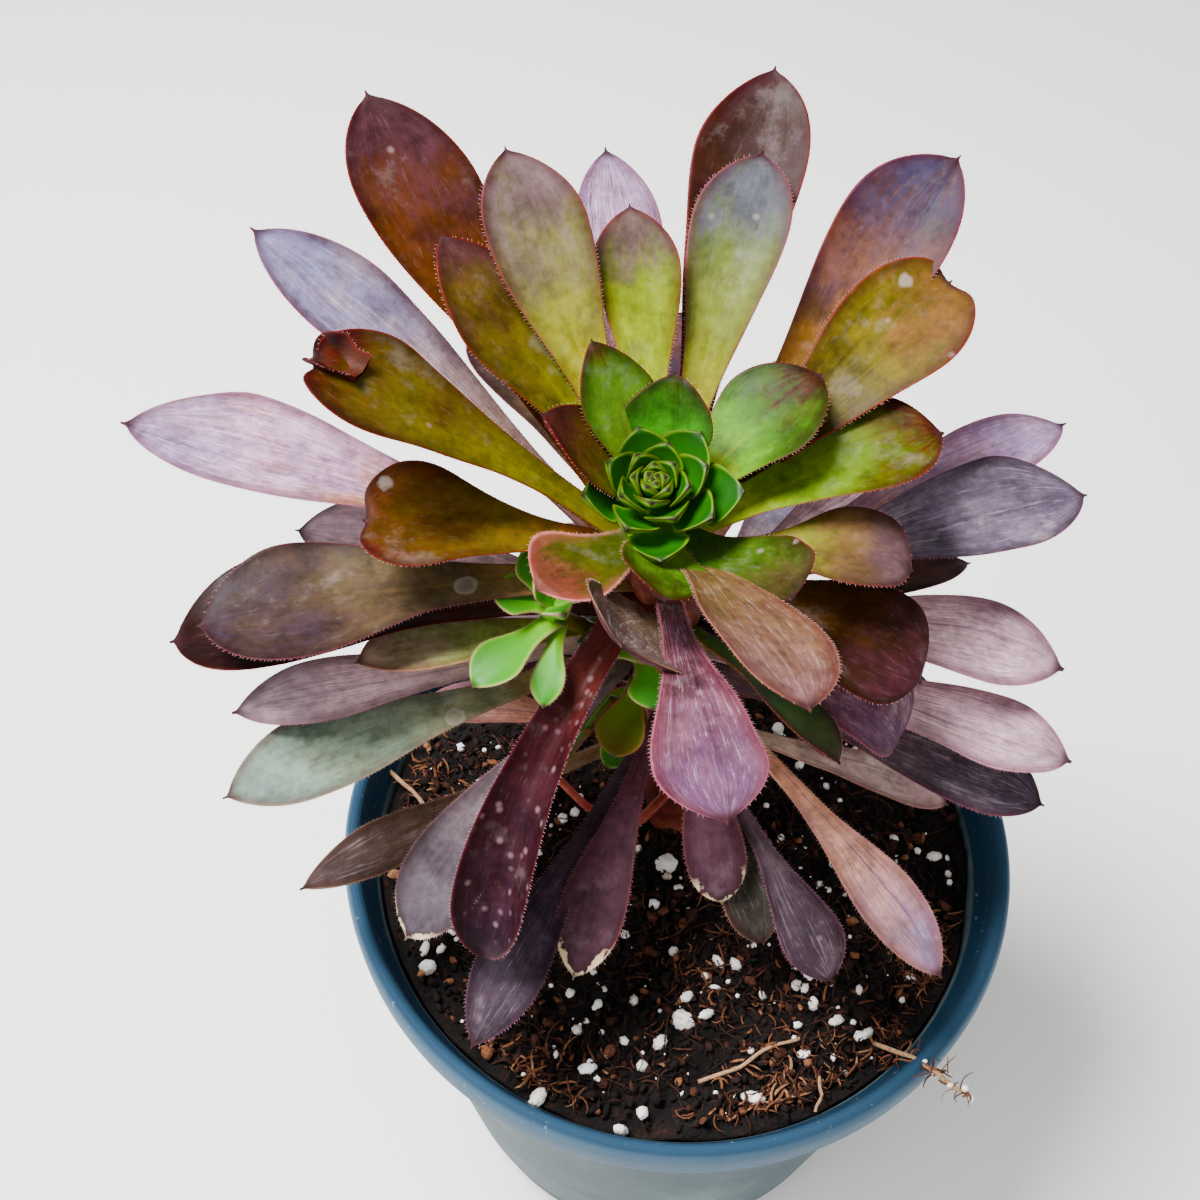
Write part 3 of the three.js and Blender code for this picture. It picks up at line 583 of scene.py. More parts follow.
leafRows = [
    row(203, 137, 44, 20, 102, 22, "fireMaroon", yaw=-36, lean=2, blunt=2.1, slim=1.8),
    row(213, 123.5, 46, 20, 76, 18.5, "sage", yaw=-18),
    row(192, 102, 42, 20, 91, 16, "blush"),
    row(218, 98, 40, 20, 60, 15.5, "paleLime", blunt=1.9),
    row(218, 140, 38, 20, 65, 19, "bronze", yaw=-12, blunt=1.7, wide=0.72),
    row(205, 77, 40, 18, 97, 21, "roseOlive", lean=-2, blunt=2.1),
    row(214, 73, 38, 20, 75, 17.5, "sageBlue"),
    row(202, 44, 36, 14, 95, 22, "plumOlive", yaw=-14, lean=5, roll=16),
    row(210, 36, 30, 22, 76, 21, "amber", yaw=8, notch=3, roll=18, crisp=0.6),
    row(221, 37, 28, 20, 40, 19.5, "freshLime", neck=0.36, wide=0.72, slim=1.2),
    row(215, 14, 20, 20, 54, 22, "lime", slim=1.8, neck=0.34),
    row(208, -12, 18, 40, 47, 20, "copper", uneven=0.16, curl=20, slim=1.9),
    row(194, 12.7, 11, 18, 84, 23.5, "slate", blunt=1.8),
    row(188, 26, 13, 18, 92, 16, "blush"),
    row(178, 27, -6, 20, 77, 10, "darkOlive", blunt=1.7),
    row(188, -6, 0, 18, 77, 20, "rose", blunt=1.9, yaw=-20, wrinkle=0.35, wave=0.6),
    row(204, -29, 4, 50, 52, 24, "darkOlive", uneven=0.16, blunt=3, wave=0.8),
    row(183, -17, -3, 14, 80, 17, "rose", wrinkle=0.4, wave=0.7),
    row(176, -20, -6, 14, 78, 19, "ash", wave=0.6),
    row(190, -32, 4, 40, 54, 20, "orchid", curl=50, wave=0.6),
    row(212, -71, 28, 40, 66, 20, "mauveBrown", uneven=0.16, roll=-20, slim=1.3, wave=0.4),
    row(200, -84, 20, 60, 70, 18, "orchid", uneven=0.16, wide=0.87, slim=2.3, blunt=2, yaw=16),
    row(204, -119, -36, 50, 81, 14, "wine", cup=0.9, yaw=24, neck=0.5, slim=1.2),
    row(190, -133, -24, 40, 80, 17, "driedDusk", wave=0.6),
    row(155, -152, -2, 10, 86, 12, "tan", blunt=1.6),
    row(204, -168, 6, 16, 84, 27, "umber", lean=2, slim=2),
    row(194, -172, 7, 16, 93, 26, "ember", curl=14, lean=3),
    row(188, -162, 4, 2, 84, 14, "oldRose", wrinkle=0.3),
    row(184, -153, 3, 12, 90, 18, "greyGreen", slim=2, wave=0.5),
    row(203, 172, 14, 16, 103, 22.5, "blush", lean=-1, blunt=1.6, wrinkle=0.3),
    row(190, 174, 13, 20, 74, 18, "oldRose"),
    row(196, 156, 38, 10, 101, 20, "dusk", slim=1.7, lean=2),
    row(208, 171, 34, 20, 77, 22, "amberDark", notch=4, lean=1.5, slim=1.9, wave=0.6),
    row(211, 183, 13, 16, 57, 25, "cocoa", notch=3, slim=1.9),
    row(190, -106, 46, 10, 52, 23, "tan", slot="leaf_olive", blunt=3.5, wide=0.85, roll=-28),
    row(218, -51, 24, 16, 35, 20, "heartOlive", uneven=0.16, cup=0.3, blunt=3, neck=0.4),
    row(177, -75, -33, 30, 50, 12.5, "driedWine"),
    row(164, -68, -25, 30, 54, 13, "moss", wave=0.8),
    row(158, -61, -12, 24, 64, 13, "plum", slim=2.5, wide=0.86, wave=0.8),
    row(176, -50, -10, 20, 79, 13, "tanPink", slim=2.4, lean=-1, wrinkle=0.35),
    row(156, -16, -6, 14, 60, 13, "cream", roll=-15),
    row(165, -120, -16, 24, 82, 14, "nightPlum", blunt=1.9, slim=2.2),
    row(172, -109, -22, 24, 64, 12.5, "driedWine"),
    row(190, -160, 12, 12, 62, 15, "paleFern", roll=10),
    row(190, -54, 13, 40, 50, 13, "fern", roll=-30),
    row(184, 88, -8, 24, 80, 20, "rose", wave=0.5),
    row(176, 118, -22, 26, 74, 19, "mauveBrown", wave=0.6),
    row(178, 60, -16, 26, 78, 20, "dusk", wave=0.6),
    row(170, 136, -26, 26, 72, 18, "plum", wave=0.7),
    row(168, 8, -24, 24, 70, 18, "mauveBrown", wave=0.5),
    row(198, 86, 2, 20, 84, 21, "plumOlive"),
    row(194, 62, 3, 20, 80, 20, "dusk"),
    row(200, 118, 4, 20, 82, 21, "umber"),
    row(188, 42, -4, 20, 78, 19, "rose", wave=0.5),
]
# Small old leaves between the others, each with a root of its own
oldRows = [
    row(150, 172, 0, 8, 60, 11, "tanPink", slim=2, root=(2, 8, 150)),
    row(183, -148, -52, 12, 38, 6, "fern", cup=0.5, root=(-15, -5, 183)),
    row(160, 166, 4, 10, 54, 10, "wine", slim=2, root=(-2, 10, 160)),
    row(245.5, 160, 20, 0, 9, 8.5, "ember", cup=0.9, curl=90, neck=0.7, wide=0.6, root=(-59, 14, 245.5)),
]
ages = ((216, "leaf_young"), (205, "leaf_olive"), (185, "leaf_purple"), (0, "leaf_maroon"))


def addBlades(name, rows, seed, paints, slot=None, node=None):
    # a slot is worked out: the given one, or one from how high on the stem the leaf grows
    for i, leaf in enumerate(rows):
        own = slot or leaf.get("slot") or next(age for above, age in ages if leaf["z"] > above)
        nodes = [node.format(i + 1)] if node else []
        addPiece(name.format(i + 1), leafShape(leaf, seed + 20 * i), paints[leaf["look"]], nodes)


# The bud in the middle: a pair gives the value of its outermost and its innermost leaf
heart = {
    "count": 26, "length": (14, 3.4), "width": (11.5, 2.8), "rise": (30, 87), "spread": (3, 0.2),
    "lift": (-5, 2.5), "tilt": 18, "towards": -90, "spiral": 137.508,
    "foot": 216.3, "footRadius": 6, "top": 234, "topRadius": 3.2,
}
innerRows = [
    row(226, 80, 52, 16, 25, 16, "heartGreen", blunt=1.7, neck=0.5, wide=0.64),
    row(225, 124, 50, 16, 33, 14, "leafGreen", blunt=1.7, neck=0.5, wide=0.66),
    row(223, 173, 50, 16, 31, 17, "umberGreen", blunt=1.7, neck=0.5, wide=0.66),
    row(217, -143, 12, 16, 27, 18, "olivePink", wide=0.75, neck=0.45),
    row(222, -89, 24, 10, 28, 16, "leafGreen", roll=-20, neck=0.45, wide=0.7, blunt=2.6),
]
budLeaf = {
    "bend": -24, "cup": 0.4, "neck": 0.5, "wide": 0.62, "blunt": 1.9, "thin": 0.8,
    "wave": 0.1, "wrinkle": 0.03, "channel": 0.1,
}


def tilted(points, centre, tilt, towards):
    # turns an upright shape so that its axis leans by tilt towards a direction, then moves it
    turn = np.radians(towards)
    spin = Matrix.Rotation(np.radians(tilt), 3, (-np.sin(turn), np.cos(turn), 0))
    return points @ np.array(spin).T + centre


def rosette(spec, centre, seed, rings, around):
    # leaves in a spiral, each turned on from the one before by the same angle
    made = []
    for i in range(spec["count"]):
        t = i / (spec["count"] - 1)
        size = {k: v[0] + (v[1] - v[0]) * t for k, v in spec.items() if isinstance(v, tuple)}
        az = spec["spiral"] * i
        a = np.radians(az)
        root = (np.cos(a) * size["spread"], np.sin(a) * size["spread"], size["lift"])
        leaf = {**budLeaf, **size, "az": az, "root": root}
        shape = leafShape(leaf, seed + 20 * i, rings, around, hairs=False)
        shape["points"] = tilted(shape["points"], centre, spec["tilt"], spec["towards"])
        made.append(shape)
    return made


# Codes from root to tip, of the edge, the thin line at the margin and the underside; width of that line, mm
budColours = {
    "heart": ("90bc0c 447a0c 345c0a 84a018 44240e 44760e", 0.34),
    "shoot": ("88ac40 689c48 5c8c50 94ac68 b89484 609844", 0.3),
    "olive": ("7c9c14 6a7c1c 6c6430 847c2c a05048 7c3c2c", 0.4),
}


def budPaint(name, codes, band):
    # green skin, brightest at the root, with a coloured edge, a thin line at the margin and a dark tip
    edge, margin, below = codes.split()[3:]
    paint = Paint(name, 0.12)
    along, rim, under = paint.marks("along rim under")
    blotch, grain = paint.noise(90, 3), paint.noise(700, 2)
    skin = paint.ramp(along + (blotch - 0.5) * 0.3, (0.0, 0.4, 0.9), codes, 1.45, 1.35)
    skin = paint.layered(
        paint.brighten(skin, 0.6 + 0.6 * blotch + 0.2 * grain),
        (under * 0.5, rgb(below, 1.3, 1.3)),
        (rim.ease(band + 0.7, band) * 0.6, rgb(edge, 1.45, 1.35)),
        (rim.ease(band, 0.05) * (0.55 + 0.4 * grain), rgb(margin, 1.3)),
        (along.ease(0.93, 0.985) * 0.85, rgb("1c1210")),
    )
    return paint.coat(skin, 0.34 + 0.14 * blotch, blotch + 0.3 * grain, 0.25, 0.0004)


def addHeart(paints):
    z = np.linspace(heart["foot"], heart["top"], 24)
    radius = np.linspace(heart["footRadius"], heart["topRadius"], 24)
    crown = tube(stemAt(z), radius, 24, along=0.1, rim=5.0)
    shapes = [crown] + rosette(heart, stemAt(heart["top"]), 3000, 26, 24)
    addPiece("heartBud", joined(shapes), budPaint("budGreen", *budColours["heart"]), ["heart"])
    addBlades("innerBlade_{}", innerRows, 2000, paints, "heart")


# Side shoots: a branch through points, and its leaves: root x, y, z, direction, rise, length, width, colour
shootLeaf = {"bend": 24, "cup": 0.35, "neck": 0.45, "wide": 0.68, "blunt": 1.9, "channel": 0.15, "wave": 0.3}
shoots = {
    "left": {
        "branch": [(-4, 8.5, 180), (-12, 6, 186), (-20, 2, 195), (-27.5, -2.5, 206)], "radius": 1.9,
        "leaves": [
            (-27.5, -2.5, 206, 118, 48, 13, 8.5, "shoot"), (-27.5, -2.5, 206, 180, 22, 11, 9.5, "shoot"),
            (-26.5, -3.5, 204, -135, -4, 20, 9.5, "shoot"), (-25.5, -3.5, 203, -100, -18, 16, 6.5, "shoot"),
            (-26.5, -2.5, 206, 20, 40, 10, 7, "shoot"), (-27.5, -2.5, 206, 145, 66, 8, 5.5, "shoot"),
            (-27.5, -3.5, 206, -60, 48, 9, 6, "shoot"),
        ],
    },
    "front": {
        "branch": [(-3, 8, 152), (-9, 3, 160), (-11, -1, 176), (-10, -4, 194)], "radius": 1.9,
        "leaves": [
            (-10, -4, 194, 172, 12, 13, 8, "shoot"), (-10, -4, 193, -80, 0, 11, 9, "shoot"),
            (-10, -4, 194, 40, 44, 9, 6, "shoot"), (-10, -3, 186, -112, -26, 16, 10, "olive"),
            (-11, -1, 178, -160, -12, 15, 10, "olive"), (-10, 1, 164, -128, -14, 11, 7, "shoot"),
        ],
    },
}


def addShoots():
    paints = {name: budPaint(name + "Green", *budColours[name]) for name in ("shoot", "olive")}
    for number, (side, spec) in enumerate(shoots.items()):
        radius = spec["radius"] * np.linspace(1, 0.8, 24)
        stalk = tube(bentLine(spec["branch"], 24), radius, 14, along=0.2, rim=5.0, under=1.0)
        made = {"olive": [stalk], "shoot": []}
        for k, (x, y, z, az, rise, length, width, colour) in enumerate(spec["leaves"]):
            sizes = {"root": (x, y, z), "az": az, "rise": rise, "length": length, "width": width}
            made[colour].append(leafShape({**shootLeaf, **sizes}, 5000 + 400 * number + 20 * k, 34, 24))
        addPiece("olive_" + side, joined(made["olive"]), paints["olive"])
        addPiece("shoot_" + side, joined(made["shoot"]), paints["shoot"], ["offset_" + side])


stem = {
    "foot": 88, "top": 216, "footRadius": 7.6, "topRadius": 6, "rings": 150, "around": 40,
    "scar": 0.5, "grain": 0.12,    # how far the scars and the fine grain stand out, mm
    "stalk": [(0, 4, 152), (-4, -6, 148), (-9, -11, 146.5), (-15, -12, 147), (-21, -8, 148), (-29, -1, 151)],
}


def addStem():
    # a round stem; noise that follows the height in a spiral makes the rough scars of old leaves
    z = np.linspace(stem["foot"], stem["top"], stem["rings"])
    phi = np.linspace(0, 2 * np.pi, stem["around"], endpoint=False)
    c, d = np.cos(phi)[None, :], np.sin(phi)[None, :]
    scars = noiseAt(z[:, None] * 0.28 + c * 1.6, d * 1.6 + 5, 61)
    fine = noiseAt(z[:, None] * 0.9 + c * 5, d * 5 + 20, 62)
    radius = np.linspace(stem["footRadius"], stem["topRadius"], stem["rings"])[:, None]
    radius = radius + stem["scar"] * np.abs(scars) + stem["grain"] * fine
    grid = stemAt(z)[:, None] + np.stack([radius * c, radius * d, 0 * radius], -1)
    bark = Paint("stemBark", 0.4)
    blotch, grain = bark.noise(70, 5), bark.noise(450, 3)
    skin = bark.ramp(blotch + (grain - 0.5) * 0.4, (0.25, 0.48, 0.7, 0.9), "2c0c08 641a10 8a4630 b08c70")
    bark.coat(skin, 0.5 + 0.3 * grain, blotch + 0.5 * grain, 0.6, 0.0008)
    addPiece("stemWood", closedGrid(grid), bark, ["stem"])

    # an old red leaf stalk, bent round the front of the stem
    red = Paint("redStalk", 0.3)
    vein = red.noise(300, 3)
    red.coat(red.mix(vein.ease(0.35, 0.7), rgb("8c2420"), rgb("b4503c")), 0.4 + 0.2 * vein)
    addPiece("oldStalk", tube(bentLine(stem["stalk"], 30), np.linspace(1.2, 0.8, 30), 12), red)


soil = {
    "level": 119, "relief": 1.6, "moundHeight": 2.2, "moundRadius": 20.5, "reach": 67.4,
    "rings": 90, "around": 200, "sunk": 0.9,
    "lumps": [(0.9, 3.1), (0.55, 1.3), (0.3, 0.6)],         # height and width of the bed's roughness, mm
    "wall": [(50.5, 2.1), (52.6, 4.1), (55, 15.5)],         # (r, z) under the bed's edge, inside the pot
}
strandBends = {"turn": 1.3, "slope": 0.22, "droop": (-0.3, 0.5), "taper": 0.6}    # radians, and a share
# What lies on the bed. Lumps have sizes of low + span * u ^ power mm for a random u, strands lengths and
# radii; edge is how far they stay from the bed's edge, lift how high they stand and tone their colour
crumbs = {
    "count": 3300, "edge": 1.5, "lift": 0.1, "tone": (0, 0.68),
    "size": (0.3, 0.9, 2.5), "stretch": 0.55, "rough": 0.4,
}
chips = {
    "count": 700, "edge": 2, "lift": 0.3, "tone": (0.45, 0.95),
    "size": (0.4, 0.75, 1), "stretch": 0.9, "rough": 0.35,
}
fibres = {
    "count": 2200, "edge": 7, "lift": 0, "tone": (0.3, 0.8),
    "length": (2.5, 9), "radius": (0.08, 0.3), "rise": 0.25, "knots": 6,
}
heaped = {
    "count": 900, "edge": 4, "tone": (0.6, 0.96),
    "length": (1.5, 5), "radius": (0.14, 0.42), "rise": 0.15, "knots": 5,
    "heaps": [    # x, y and width of each
        (38, -48, 9), (18, -60, 7), (-56, 12, 7), (-30, -56, 6), (56, -28, 6), (-45, -2, 6), (10, -30, 9),
    ],
}
hanging = {
    "count": 34, "spread": (0.8, 0.8, 0.24), "tone": (0.65, 0.95),
    "length": (2, 6), "radius": (0.12, 0.32), "rise": 0.1, "knots": 6,
    "knobs": [(44, -52, 124), (47, -54.5, 128), (49.5, -57, 131), (51, -58, 131.2), (55, -61, 130.2)],
}
twigs = {
    "bends": 0.35, "knobbly": 0.25,
    "lines": [
        ([(4, -56.5, 119.8), (12, -54, 121), (18, -50, 121.4), (25, -47, 121)], 0.36),
        ([(29, -55, 120), (28.6, -59, 121.3), (27.5, -62.5, 121.3)], 0.3),
        ([(41, -48, 120.5), (46, -53, 127), (50.5, -57.5, 131.3), (54, -60.5, 130.6), (56.5, -61, 128)],
         0.42),
        ([(-69, 17, 121), (-62, 10, 121.5), (-54, 1, 120.5)], 0.45),
    ],
}
# White grains: all over the bed, the larger ones that show in front, and those on the twig at the rim
smallGrains = {
    "count": 420, "edge": 3, "lift": 0.2, "tone": (0, 1),
    "size": (0.2, 1.2, 2.2), "stretch": 0.3, "rough": 0.15,
}
largeGrains = {
    "lift": 0.5, "tone": (0, 1), "stretch": 0.45, "rough": 0.16,
    "places": [    # x, y and radius
        (1, -43, 2.2), (6, -42, 1.9), (-2, -7, 2.6), (-54, -33, 2.4), (15, -59, 2.4), (-19, -54, 1.8),
        (-29, -60, 2.0), (-12, -66, 1.9), (60, -3, 1.6), (40, -45, 1.7), (29, -39, 1.6), (-17, -40, 1.4),
        (-55, -29, 1.6), (39, -36, 1.4), (-23, -38, 1.8), (9, -30, 1.6), (-4, -48, 1.6), (2, -38, 1.3),
        (26, -50, 1.5), (8, -36, 1.1), (50, -20, 1.5),
    ],
    "fit": 0.84,    # a grain's radius before its roughness, as a share
}
twigGrains = {
    "tone": (0, 1), "stretch": 0.3, "rough": 0.2,
    "places": [    # x, y, z and radius
        (57, -61.5, 128.2, 0.9), (55.6, -60.2, 130.4, 0.7), (52.5, -60, 131.4, 0.6), (48.4, -55, 130.4, 0.5),
    ],
}


def soilHeight(x, y):
    # gentle mounds, a little higher round the stem
    wide = np.sin(x * 0.21 + 0.6) * np.cos(y * 0.17 - 0.8)
    close = np.sin(x * 0.43 - y * 0.37 + 1.9)
    mound = soil["moundHeight"] * np.exp(-((x - 1) ** 2 + (y - 8) ** 2) / soil["moundRadius"] ** 2)
    return soil["level"] + soil["relief"] * (0.62 * wide + 0.38 * close) + mound


def onSoil(x, y, lift=0.0):
    return np.stack([x, y, soilHeight(x, y) + lift], -1)


def scatter(draw, spec):
    # evenly over the bed: r = reach * sqrt(u)
    r = (soil["reach"] - spec["edge"]) * np.sqrt(draw.uniform(0, 1, spec["count"]))
    a = draw.uniform(0, 2 * np.pi, spec["count"])
    return onSoil(r * np.cos(a), r * np.sin(a), spec["lift"])


golden = (1 + 5 ** 0.5) / 2
ballPoints = np.array([
    (-1, golden, 0), (1, golden, 0), (-1, -golden, 0), (1, -golden, 0), (0, -1, golden), (0, 1, golden),
    (0, -1, -golden), (0, 1, -golden), (golden, 0, -1), (golden, 0, 1), (-golden, 0, -1), (-golden, 0, 1),
]) / np.hypot(1, golden)
ballFaces = np.array([
    (0, 11, 5), (0, 5, 1), (0, 1, 7), (0, 7, 10), (0, 10, 11), (1, 5, 9), (5, 11, 4), (11, 10, 2), (10, 7, 6),
    (7, 1, 8), (3, 9, 4), (3, 4, 2), (3, 2, 6), (3, 6, 8), (3, 8, 9), (4, 9, 5), (2, 4, 11), (6, 2, 10),
    (8, 6, 7), (9, 8, 1),
])


def finerBall(points, faces):
    # every edge is halved and its middle pushed out to the ball
    edges = np.sort(faces[:, [[0, 1], [1, 2], [2, 0]]].reshape(-1, 2), 1)
    pairs, which = np.unique(edges, axis=0, return_inverse=True)
    middle = unit(points[pairs].mean(1))
    ab, bc, ca = (which.reshape(-1, 3) + len(points)).T
    a, b, c = faces.T
    split = [np.stack(f, -1) for f in ((a, ab, ca), (b, bc, ab), (c, ca, bc), (ab, bc, ca))]
    return np.concatenate([points, middle]), np.concatenate(split)


def sizesOf(draw, spec):
    low, span, power = spec["size"]
    return low + span * draw.uniform(0, 1, spec["count"]) ** power


def lumps(draw, centres, sizes, spec, ball=(ballPoints, ballFaces)):
    # uneven balls: each point's radius varies, each lump is stretched, turned and moved
    count, (points, faces) = len(centres), ball
    stretch = spec["stretch"]
    body = points[None] * (1 + spec["rough"] * draw.uniform(-1, 1, (count, len(points), 1)))
    body = body * (sizes[:, None] * draw.uniform(1 - stretch, 1 + stretch, (count, 3)))[:, None]
    turn = np.linalg.qr(draw.normal(size=(count, 3, 3)))[0]
    turn = turn * np.sign(np.linalg.det(turn))[:, None, None]
    body = np.einsum("nij,nkj->nki", turn, body) + centres[:, None]
    tris = faces[None] + len(points) * np.arange(count)[:, None, None]
    return shapeOf(body, (), tris, tone=np.repeat(draw.uniform(*spec["tone"], count), len(points)))


def strands(draw, spec, roots=None, sides=3):
    # thin bent strands: direction and slope turn evenly along each; without roots they lie all over the bed
    count, knots = spec["count"], spec["knots"]
    lengths, radii = draw.uniform(*spec["length"], count), draw.uniform(*spec["radius"], count)
    roots = scatter(draw, spec) if roots is None else roots
    share = np.linspace(0, 1, knots)[None]
    bends = strandBends
    turn = draw.uniform(0, 2 * np.pi, (count, 1)) + draw.normal(0, bends["turn"], (count, 1)) * share
    slope = draw.normal(spec["rise"], bends["slope"], (count, 1))
    slope = slope + draw.normal(*bends["droop"], (count, 1)) * share
    ahead, side = heading(turn, slope)
    step = ahead * (lengths / (knots - 1))[:, None, None]
    line = roots[:, None] + np.cumsum(step, 1) - step[:, :1]
    line[..., 2] = np.maximum(line[..., 2], soilHeight(line[..., 0], line[..., 1]) - 0.1)
    thin = radii[:, None] * (1 - bends["taper"] * share ** 3)
    grid = ringsAt(line, thin, side, np.cross(ahead, side), sides)
    one = closedGrid(grid[0])
    ends = np.stack([grid[:, 0].mean(1), grid[:, -1].mean(1)], 1)
    points = np.concatenate([grid.reshape(count, -1, 3), ends], 1)
    per = points.shape[1]
    shift = per * np.arange(count)[:, None, None]
    tone = np.repeat(draw.uniform(*spec["tone"], count), per)
    return shapeOf(points, one["quads"][None] + shift, one["tris"][None] + shift, tone=tone)


def addBed():
    # rings from the middle out with lumpy heights, then down inside the pot's wall to its floor
    flat = turned([(r * soil["reach"], 0) for r in np.linspace(0.004, 1, soil["rings"])], soil["around"])
    x, y = flat[..., 0], flat[..., 1]
    rough = sum(high * noiseAt(x / wide, y / wide, 71 + i) for i, (high, wide) in enumerate(soil["lumps"]))
    bed = onSoil(x, y, rough - soil["sunk"])
    low = turned(soil["wall"], soil["around"])
    peat = Paint("peat", 0.25)
    fine, coarse = peat.noise(900, 4, rough=0.7), peat.noise(220, 4)
    skin = peat.ramp(fine * 0.6 + coarse * 0.4, (0.38, 0.52, 0.61, 0.73), "030101 0c0504 28120b 5c301c")
    peat.coat(skin, 0.75 + 0.25 * fine, fine + coarse, 1.0, 0.0015)
    addPiece("soilBed", closedGrid(np.concatenate([low, bed[::-1]])), peat, ["soil"])


def addCrumbs(draw, paint):
    shapes = []
    for spec in (crumbs, chips):
        sizes = sizesOf(draw, spec)
        shapes.append(lumps(draw, scatter(draw, spec), sizes, spec))
    shapes.append(strands(draw, fibres))
    # fibres in heaps: round a heap's middle, and pulled in where they would leave the bed
    x, y, wide = np.array(heaped["heaps"], float)[draw.integers(0, len(heaped["heaps"]), heaped["count"])].T
    x, y = x + draw.normal(0, 1, len(x)) * wide, y + draw.normal(0, 1, len(y)) * wide
    pull = np.minimum(1, (soil["reach"] - heaped["edge"]) / np.hypot(x, y))
    shapes.append(strands(draw, heaped, onSoil(x * pull, y * pull, draw.uniform(0, 1, len(x)))))
    addPiece("soilCrumbs", joined(shapes), paint)


def addTwigs(draw, paint):
    # crooked twigs, and loose fibres that hang on the knobs of the one at the rim
    shapes = []
    for corners, radius in twigs["lines"]:
        at = np.linspace(0, len(corners) - 1, 24)
        bends = np.stack([noiseAt(at * 1.7, at * 0 + 3 * k, 75) for k in range(3)], -1)
        radius = radius * (1 + twigs["knobbly"] * noiseAt(at * 2.3, at * 0, 76))
        shapes.append(tube(bentLine(corners, 24) + twigs["bends"] * bends, radius, 9, tone=1.0))
    count, knobs = hanging["count"], np.array(hanging["knobs"], float)
    roots = knobs[draw.integers(0, len(knobs), count)] + draw.normal(0, 1, (count, 3)) * hanging["spread"]
    addPiece("twigs", joined(shapes + [strands(draw, hanging, roots)]), paint)


def addGrains(draw):
    paint = Paint("perlite", 0.35)
    pit, cloud = paint.cells(1500), paint.noise(250, 3)
    paint.coat(paint.ramp(cloud, (0.3, 0.46, 1), "b8a898 ece8e2 ffffff"), 0.6 + 0.2 * pit, pit, 0.5, 0.0004)
    small, fineBall = sizesOf(draw, smallGrains), finerBall(*finerBall(ballPoints, ballFaces))
    x, y, radius = np.array(largeGrains["places"], float).T
    onTwig = np.array(twigGrains["places"], float)
    shapes = [
        lumps(draw, onSoil(x, y, largeGrains["lift"]), radius * largeGrains["fit"], largeGrains, fineBall),
        lumps(draw, scatter(draw, smallGrains), small, smallGrains),
        lumps(draw, onTwig[:, :3], onTwig[:, 3], twigGrains),
    ]
    addPiece("perliteGrains", joined(shapes), paint)


def addSoil():
    addBed()
    paint = Paint("crumbs", 0.25)
    (tone,), grain = paint.marks("tone"), paint.noise(1300, 3)
    stops = (0.1, 0.5, 0.72, 0.94, 1)
    skin = paint.ramp(tone + (grain - 0.5) * 0.3, stops, "050202 100604 3c1c10 7c4c2e 9c7c5c")
    paint.coat(skin, 0.8 + 0.2 * grain, grain, 0.8, 0.0006)
    draw = np.random.default_rng(5)
    addCrumbs(draw, paint)
    addTwigs(draw, paint)
    addGrains(draw)


pot = {
    "rim": 75, "neck": 70, "base": 55, "step": 57.4, "stepHeight": 15.5, "height": 130, "lip": 9,
    "wall": 1.8, "around": 180, "holes": 6, "hole": 4.5, "circle": 40,
}


def potProfile():
    # (r, z) from the middle of the underside out, up the wall, over the rolled lip and down inside
    top, under, rim, neck = pot["height"], pot["height"] - pot["lip"], pot["rim"], pot["neck"]
    base, step, stepTop, wall = pot["base"], pot["step"], pot["stepHeight"], pot["wall"]
    corners = [
        (0.5, 0), (base - 2, 0), (base - 0.6, 0.5), (base, 2), (base + 1.2, stepTop - 1.5),
        (base + 1.5, stepTop - 0.6), (step, stepTop), (neck, under - 1), (neck + 0.5, under - 0.5),
        (rim - 1.6, under - 0.4), (rim - 0.6, under - 0.1), (rim - 0.15, under + 0.9), (rim, top - 3.6),
        (rim - 0.15, top - 2.2), (rim - 0.6, top - 1.1), (rim - 1.3, top - 0.3), (rim - 2, top),
        (rim - 2.8, top - 0.25), (rim - 3.4, top - 0.9), (rim - 3.9, top - 2.4), (rim - 4.1, top - 4),
        (neck - wall, under - 2), (step - wall, stepTop), (base - wall, wall + 2), (base - wall - 2, wall),
        (0.5, wall),
    ]
    return bentLine(corners, 4 * (len(corners) - 1) + 1)


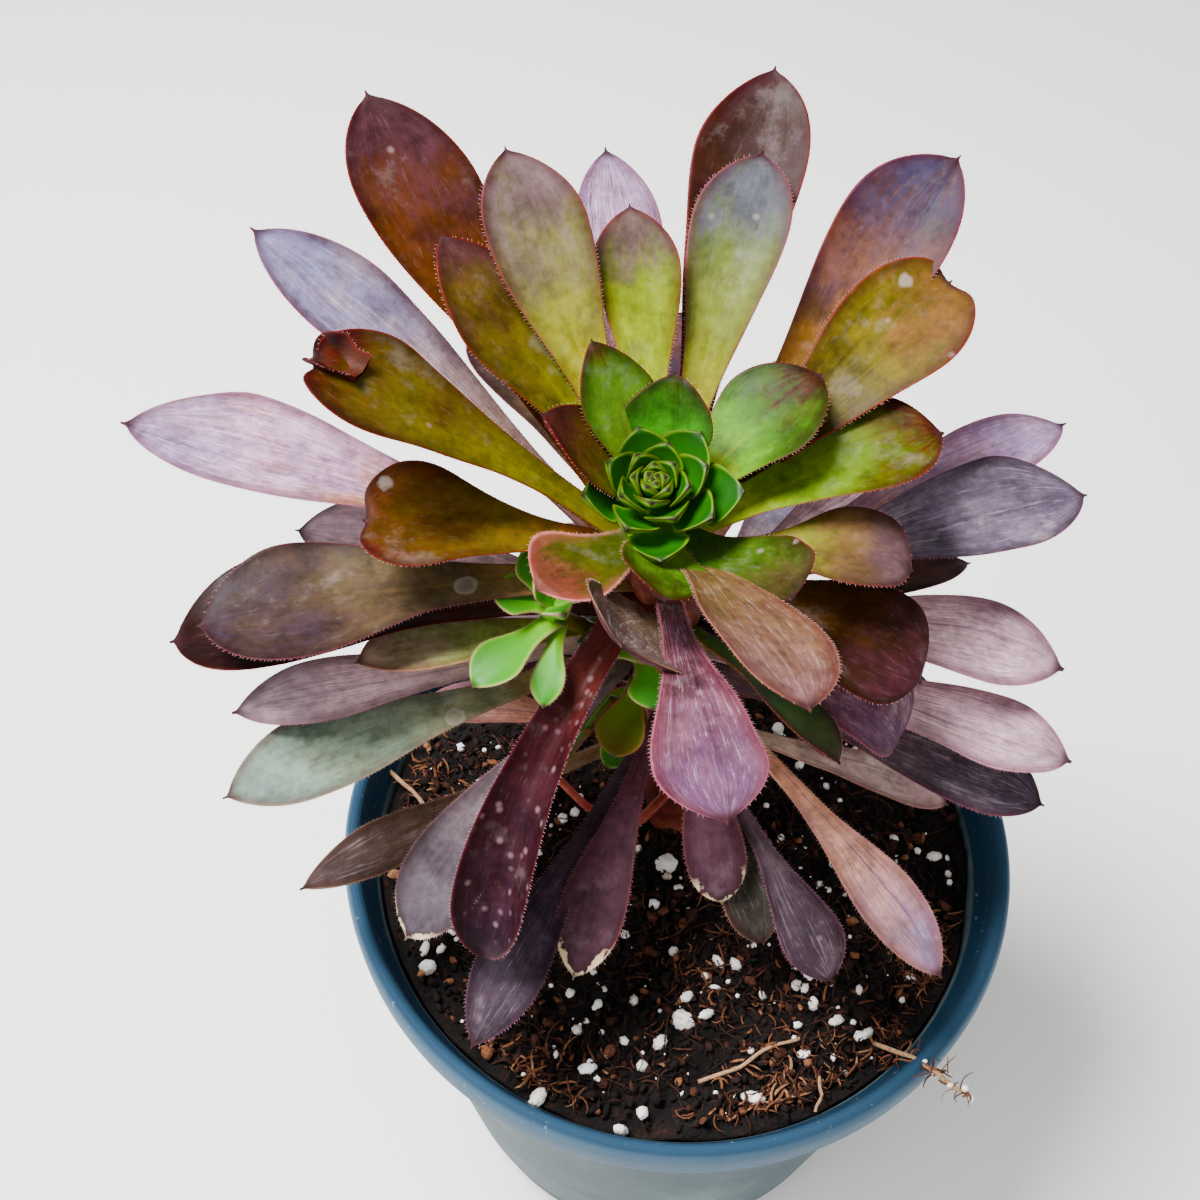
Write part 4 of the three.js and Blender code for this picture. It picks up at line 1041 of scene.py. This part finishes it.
def addPot():
    # blue lip with a painted highlight on its outer edge and painted shade on its inside, dusty and smeared
    # slate body
    paint = Paint("potPlastic", 0.02)
    x, y, up = paint.splitXyz(paint.place)
    dust, speck = paint.noise(28, 6, rough=0.65), paint.noise(700, 3)
    smear = paint.noise(1, 5, paint.joinXyz(x * 60, y * 60, up * 18), 0.65)
    reach = (x * x + y * y) ** 0.5
    under, rim = pot["height"] - pot["lip"], pot["rim"]
    lip = up.ease((under - 1.5) * mm, (under - 0.5) * mm)
    body = paint.mix(dust.ease(0.25, 0.8), rgb("4a5a60", 1.2), rgb("6c7a7c", 1.2))
    body = paint.mix(smear.ease(0.5, 0.8) * 0.32, body, rgb("8c9898"))
    band = paint.layered(
        rgb("324c60", 1.2),
        # painted highlight: lighter towards the lip's outer edge
        (reach.ease((rim - 1.4) * mm, rim * mm) * 0.6, rgb("667c8e", 1.1)),
        # painted shade: darker on the lip's inner side and on the wall inside, above the soil
        (reach.ease((rim - 3.8) * mm, pot["neck"] * mm) * lip * 0.7, rgb("142a3c")),
    )
    skin = paint.layered(
        body,
        (lip, paint.brighten(band, 0.85 + 0.3 * smear)),
        (speck.ease(0.68, 0.74) * 0.45 * dust, rgb("b8bcb4")),
    )
    paint.coat(skin, 0.28 + 0.25 * dust + 0.1 * speck, smear + 0.3 * speck, 0.15, 0.0005)
    drill(addPiece("potShell", closedGrid(turned(potProfile(), pot["around"])), paint, ["pot"]))


def drill(shell):
    # drain holes through the pot's floor, cut once so that the mesh itself has them
    turns = 2 * np.pi * np.arange(pot["holes"]) / pot["holes"]
    middles = [(pot["circle"] * np.cos(a), pot["circle"] * np.sin(a)) for a in turns]
    bits = joined([tube([(x, y, -3), (x, y, 3)], pot["hole"], 24) for x, y in middles])
    cutter = linked("bits", meshOf("bits", bits))
    cut = shell.modifiers.new("drain", "BOOLEAN")
    cut.object, cut.operation, cut.solver = cutter, "DIFFERENCE", "EXACT"
    drilled = bpy.data.meshes.new_from_object(shell.evaluated_get(bpy.context.evaluated_depsgraph_get()))
    shell.modifiers.clear()
    shell.data = drilled
    bpy.data.objects.remove(cutter)


floorSpec = {"half": 3.0, "below": 0.0002, "colour": "f2f1ef", "rough": 0.7}


def addFloor():
    corners = np.array([(-1, -1, 0), (1, -1, 0), (1, 1, 0), (-1, 1, 0)]) * floorSpec["half"]
    mesh = bpy.data.meshes.new("floor")
    mesh.from_pydata(corners, [], [(0, 1, 2, 3)])
    mesh.materials.append(Paint("paleFloor").coat(rgb(floorSpec["colour"]), floorSpec["rough"]).material)
    floor = linked("floor", mesh)
    floor.location.z = -floorSpec["below"]


addCamera()
addLamps()
addFloor()
print("camera, lamps and floor set")
leafPaints = {name: leafPaint(name, look) for name, look in looks.items()}
addBlades("blade_{:02d}", leafRows, 100, leafPaints, node="leaf_{:02d}")
addBlades("oldBlade_{}", oldRows, 4000, leafPaints, "leaf_maroon")
print("leaves made:", len(leafRows))
addHeart(leafPaints)
addShoots()
addStem()
print("heart, side shoots and stem made")
addSoil()
addPot()
print("soil and pot made")
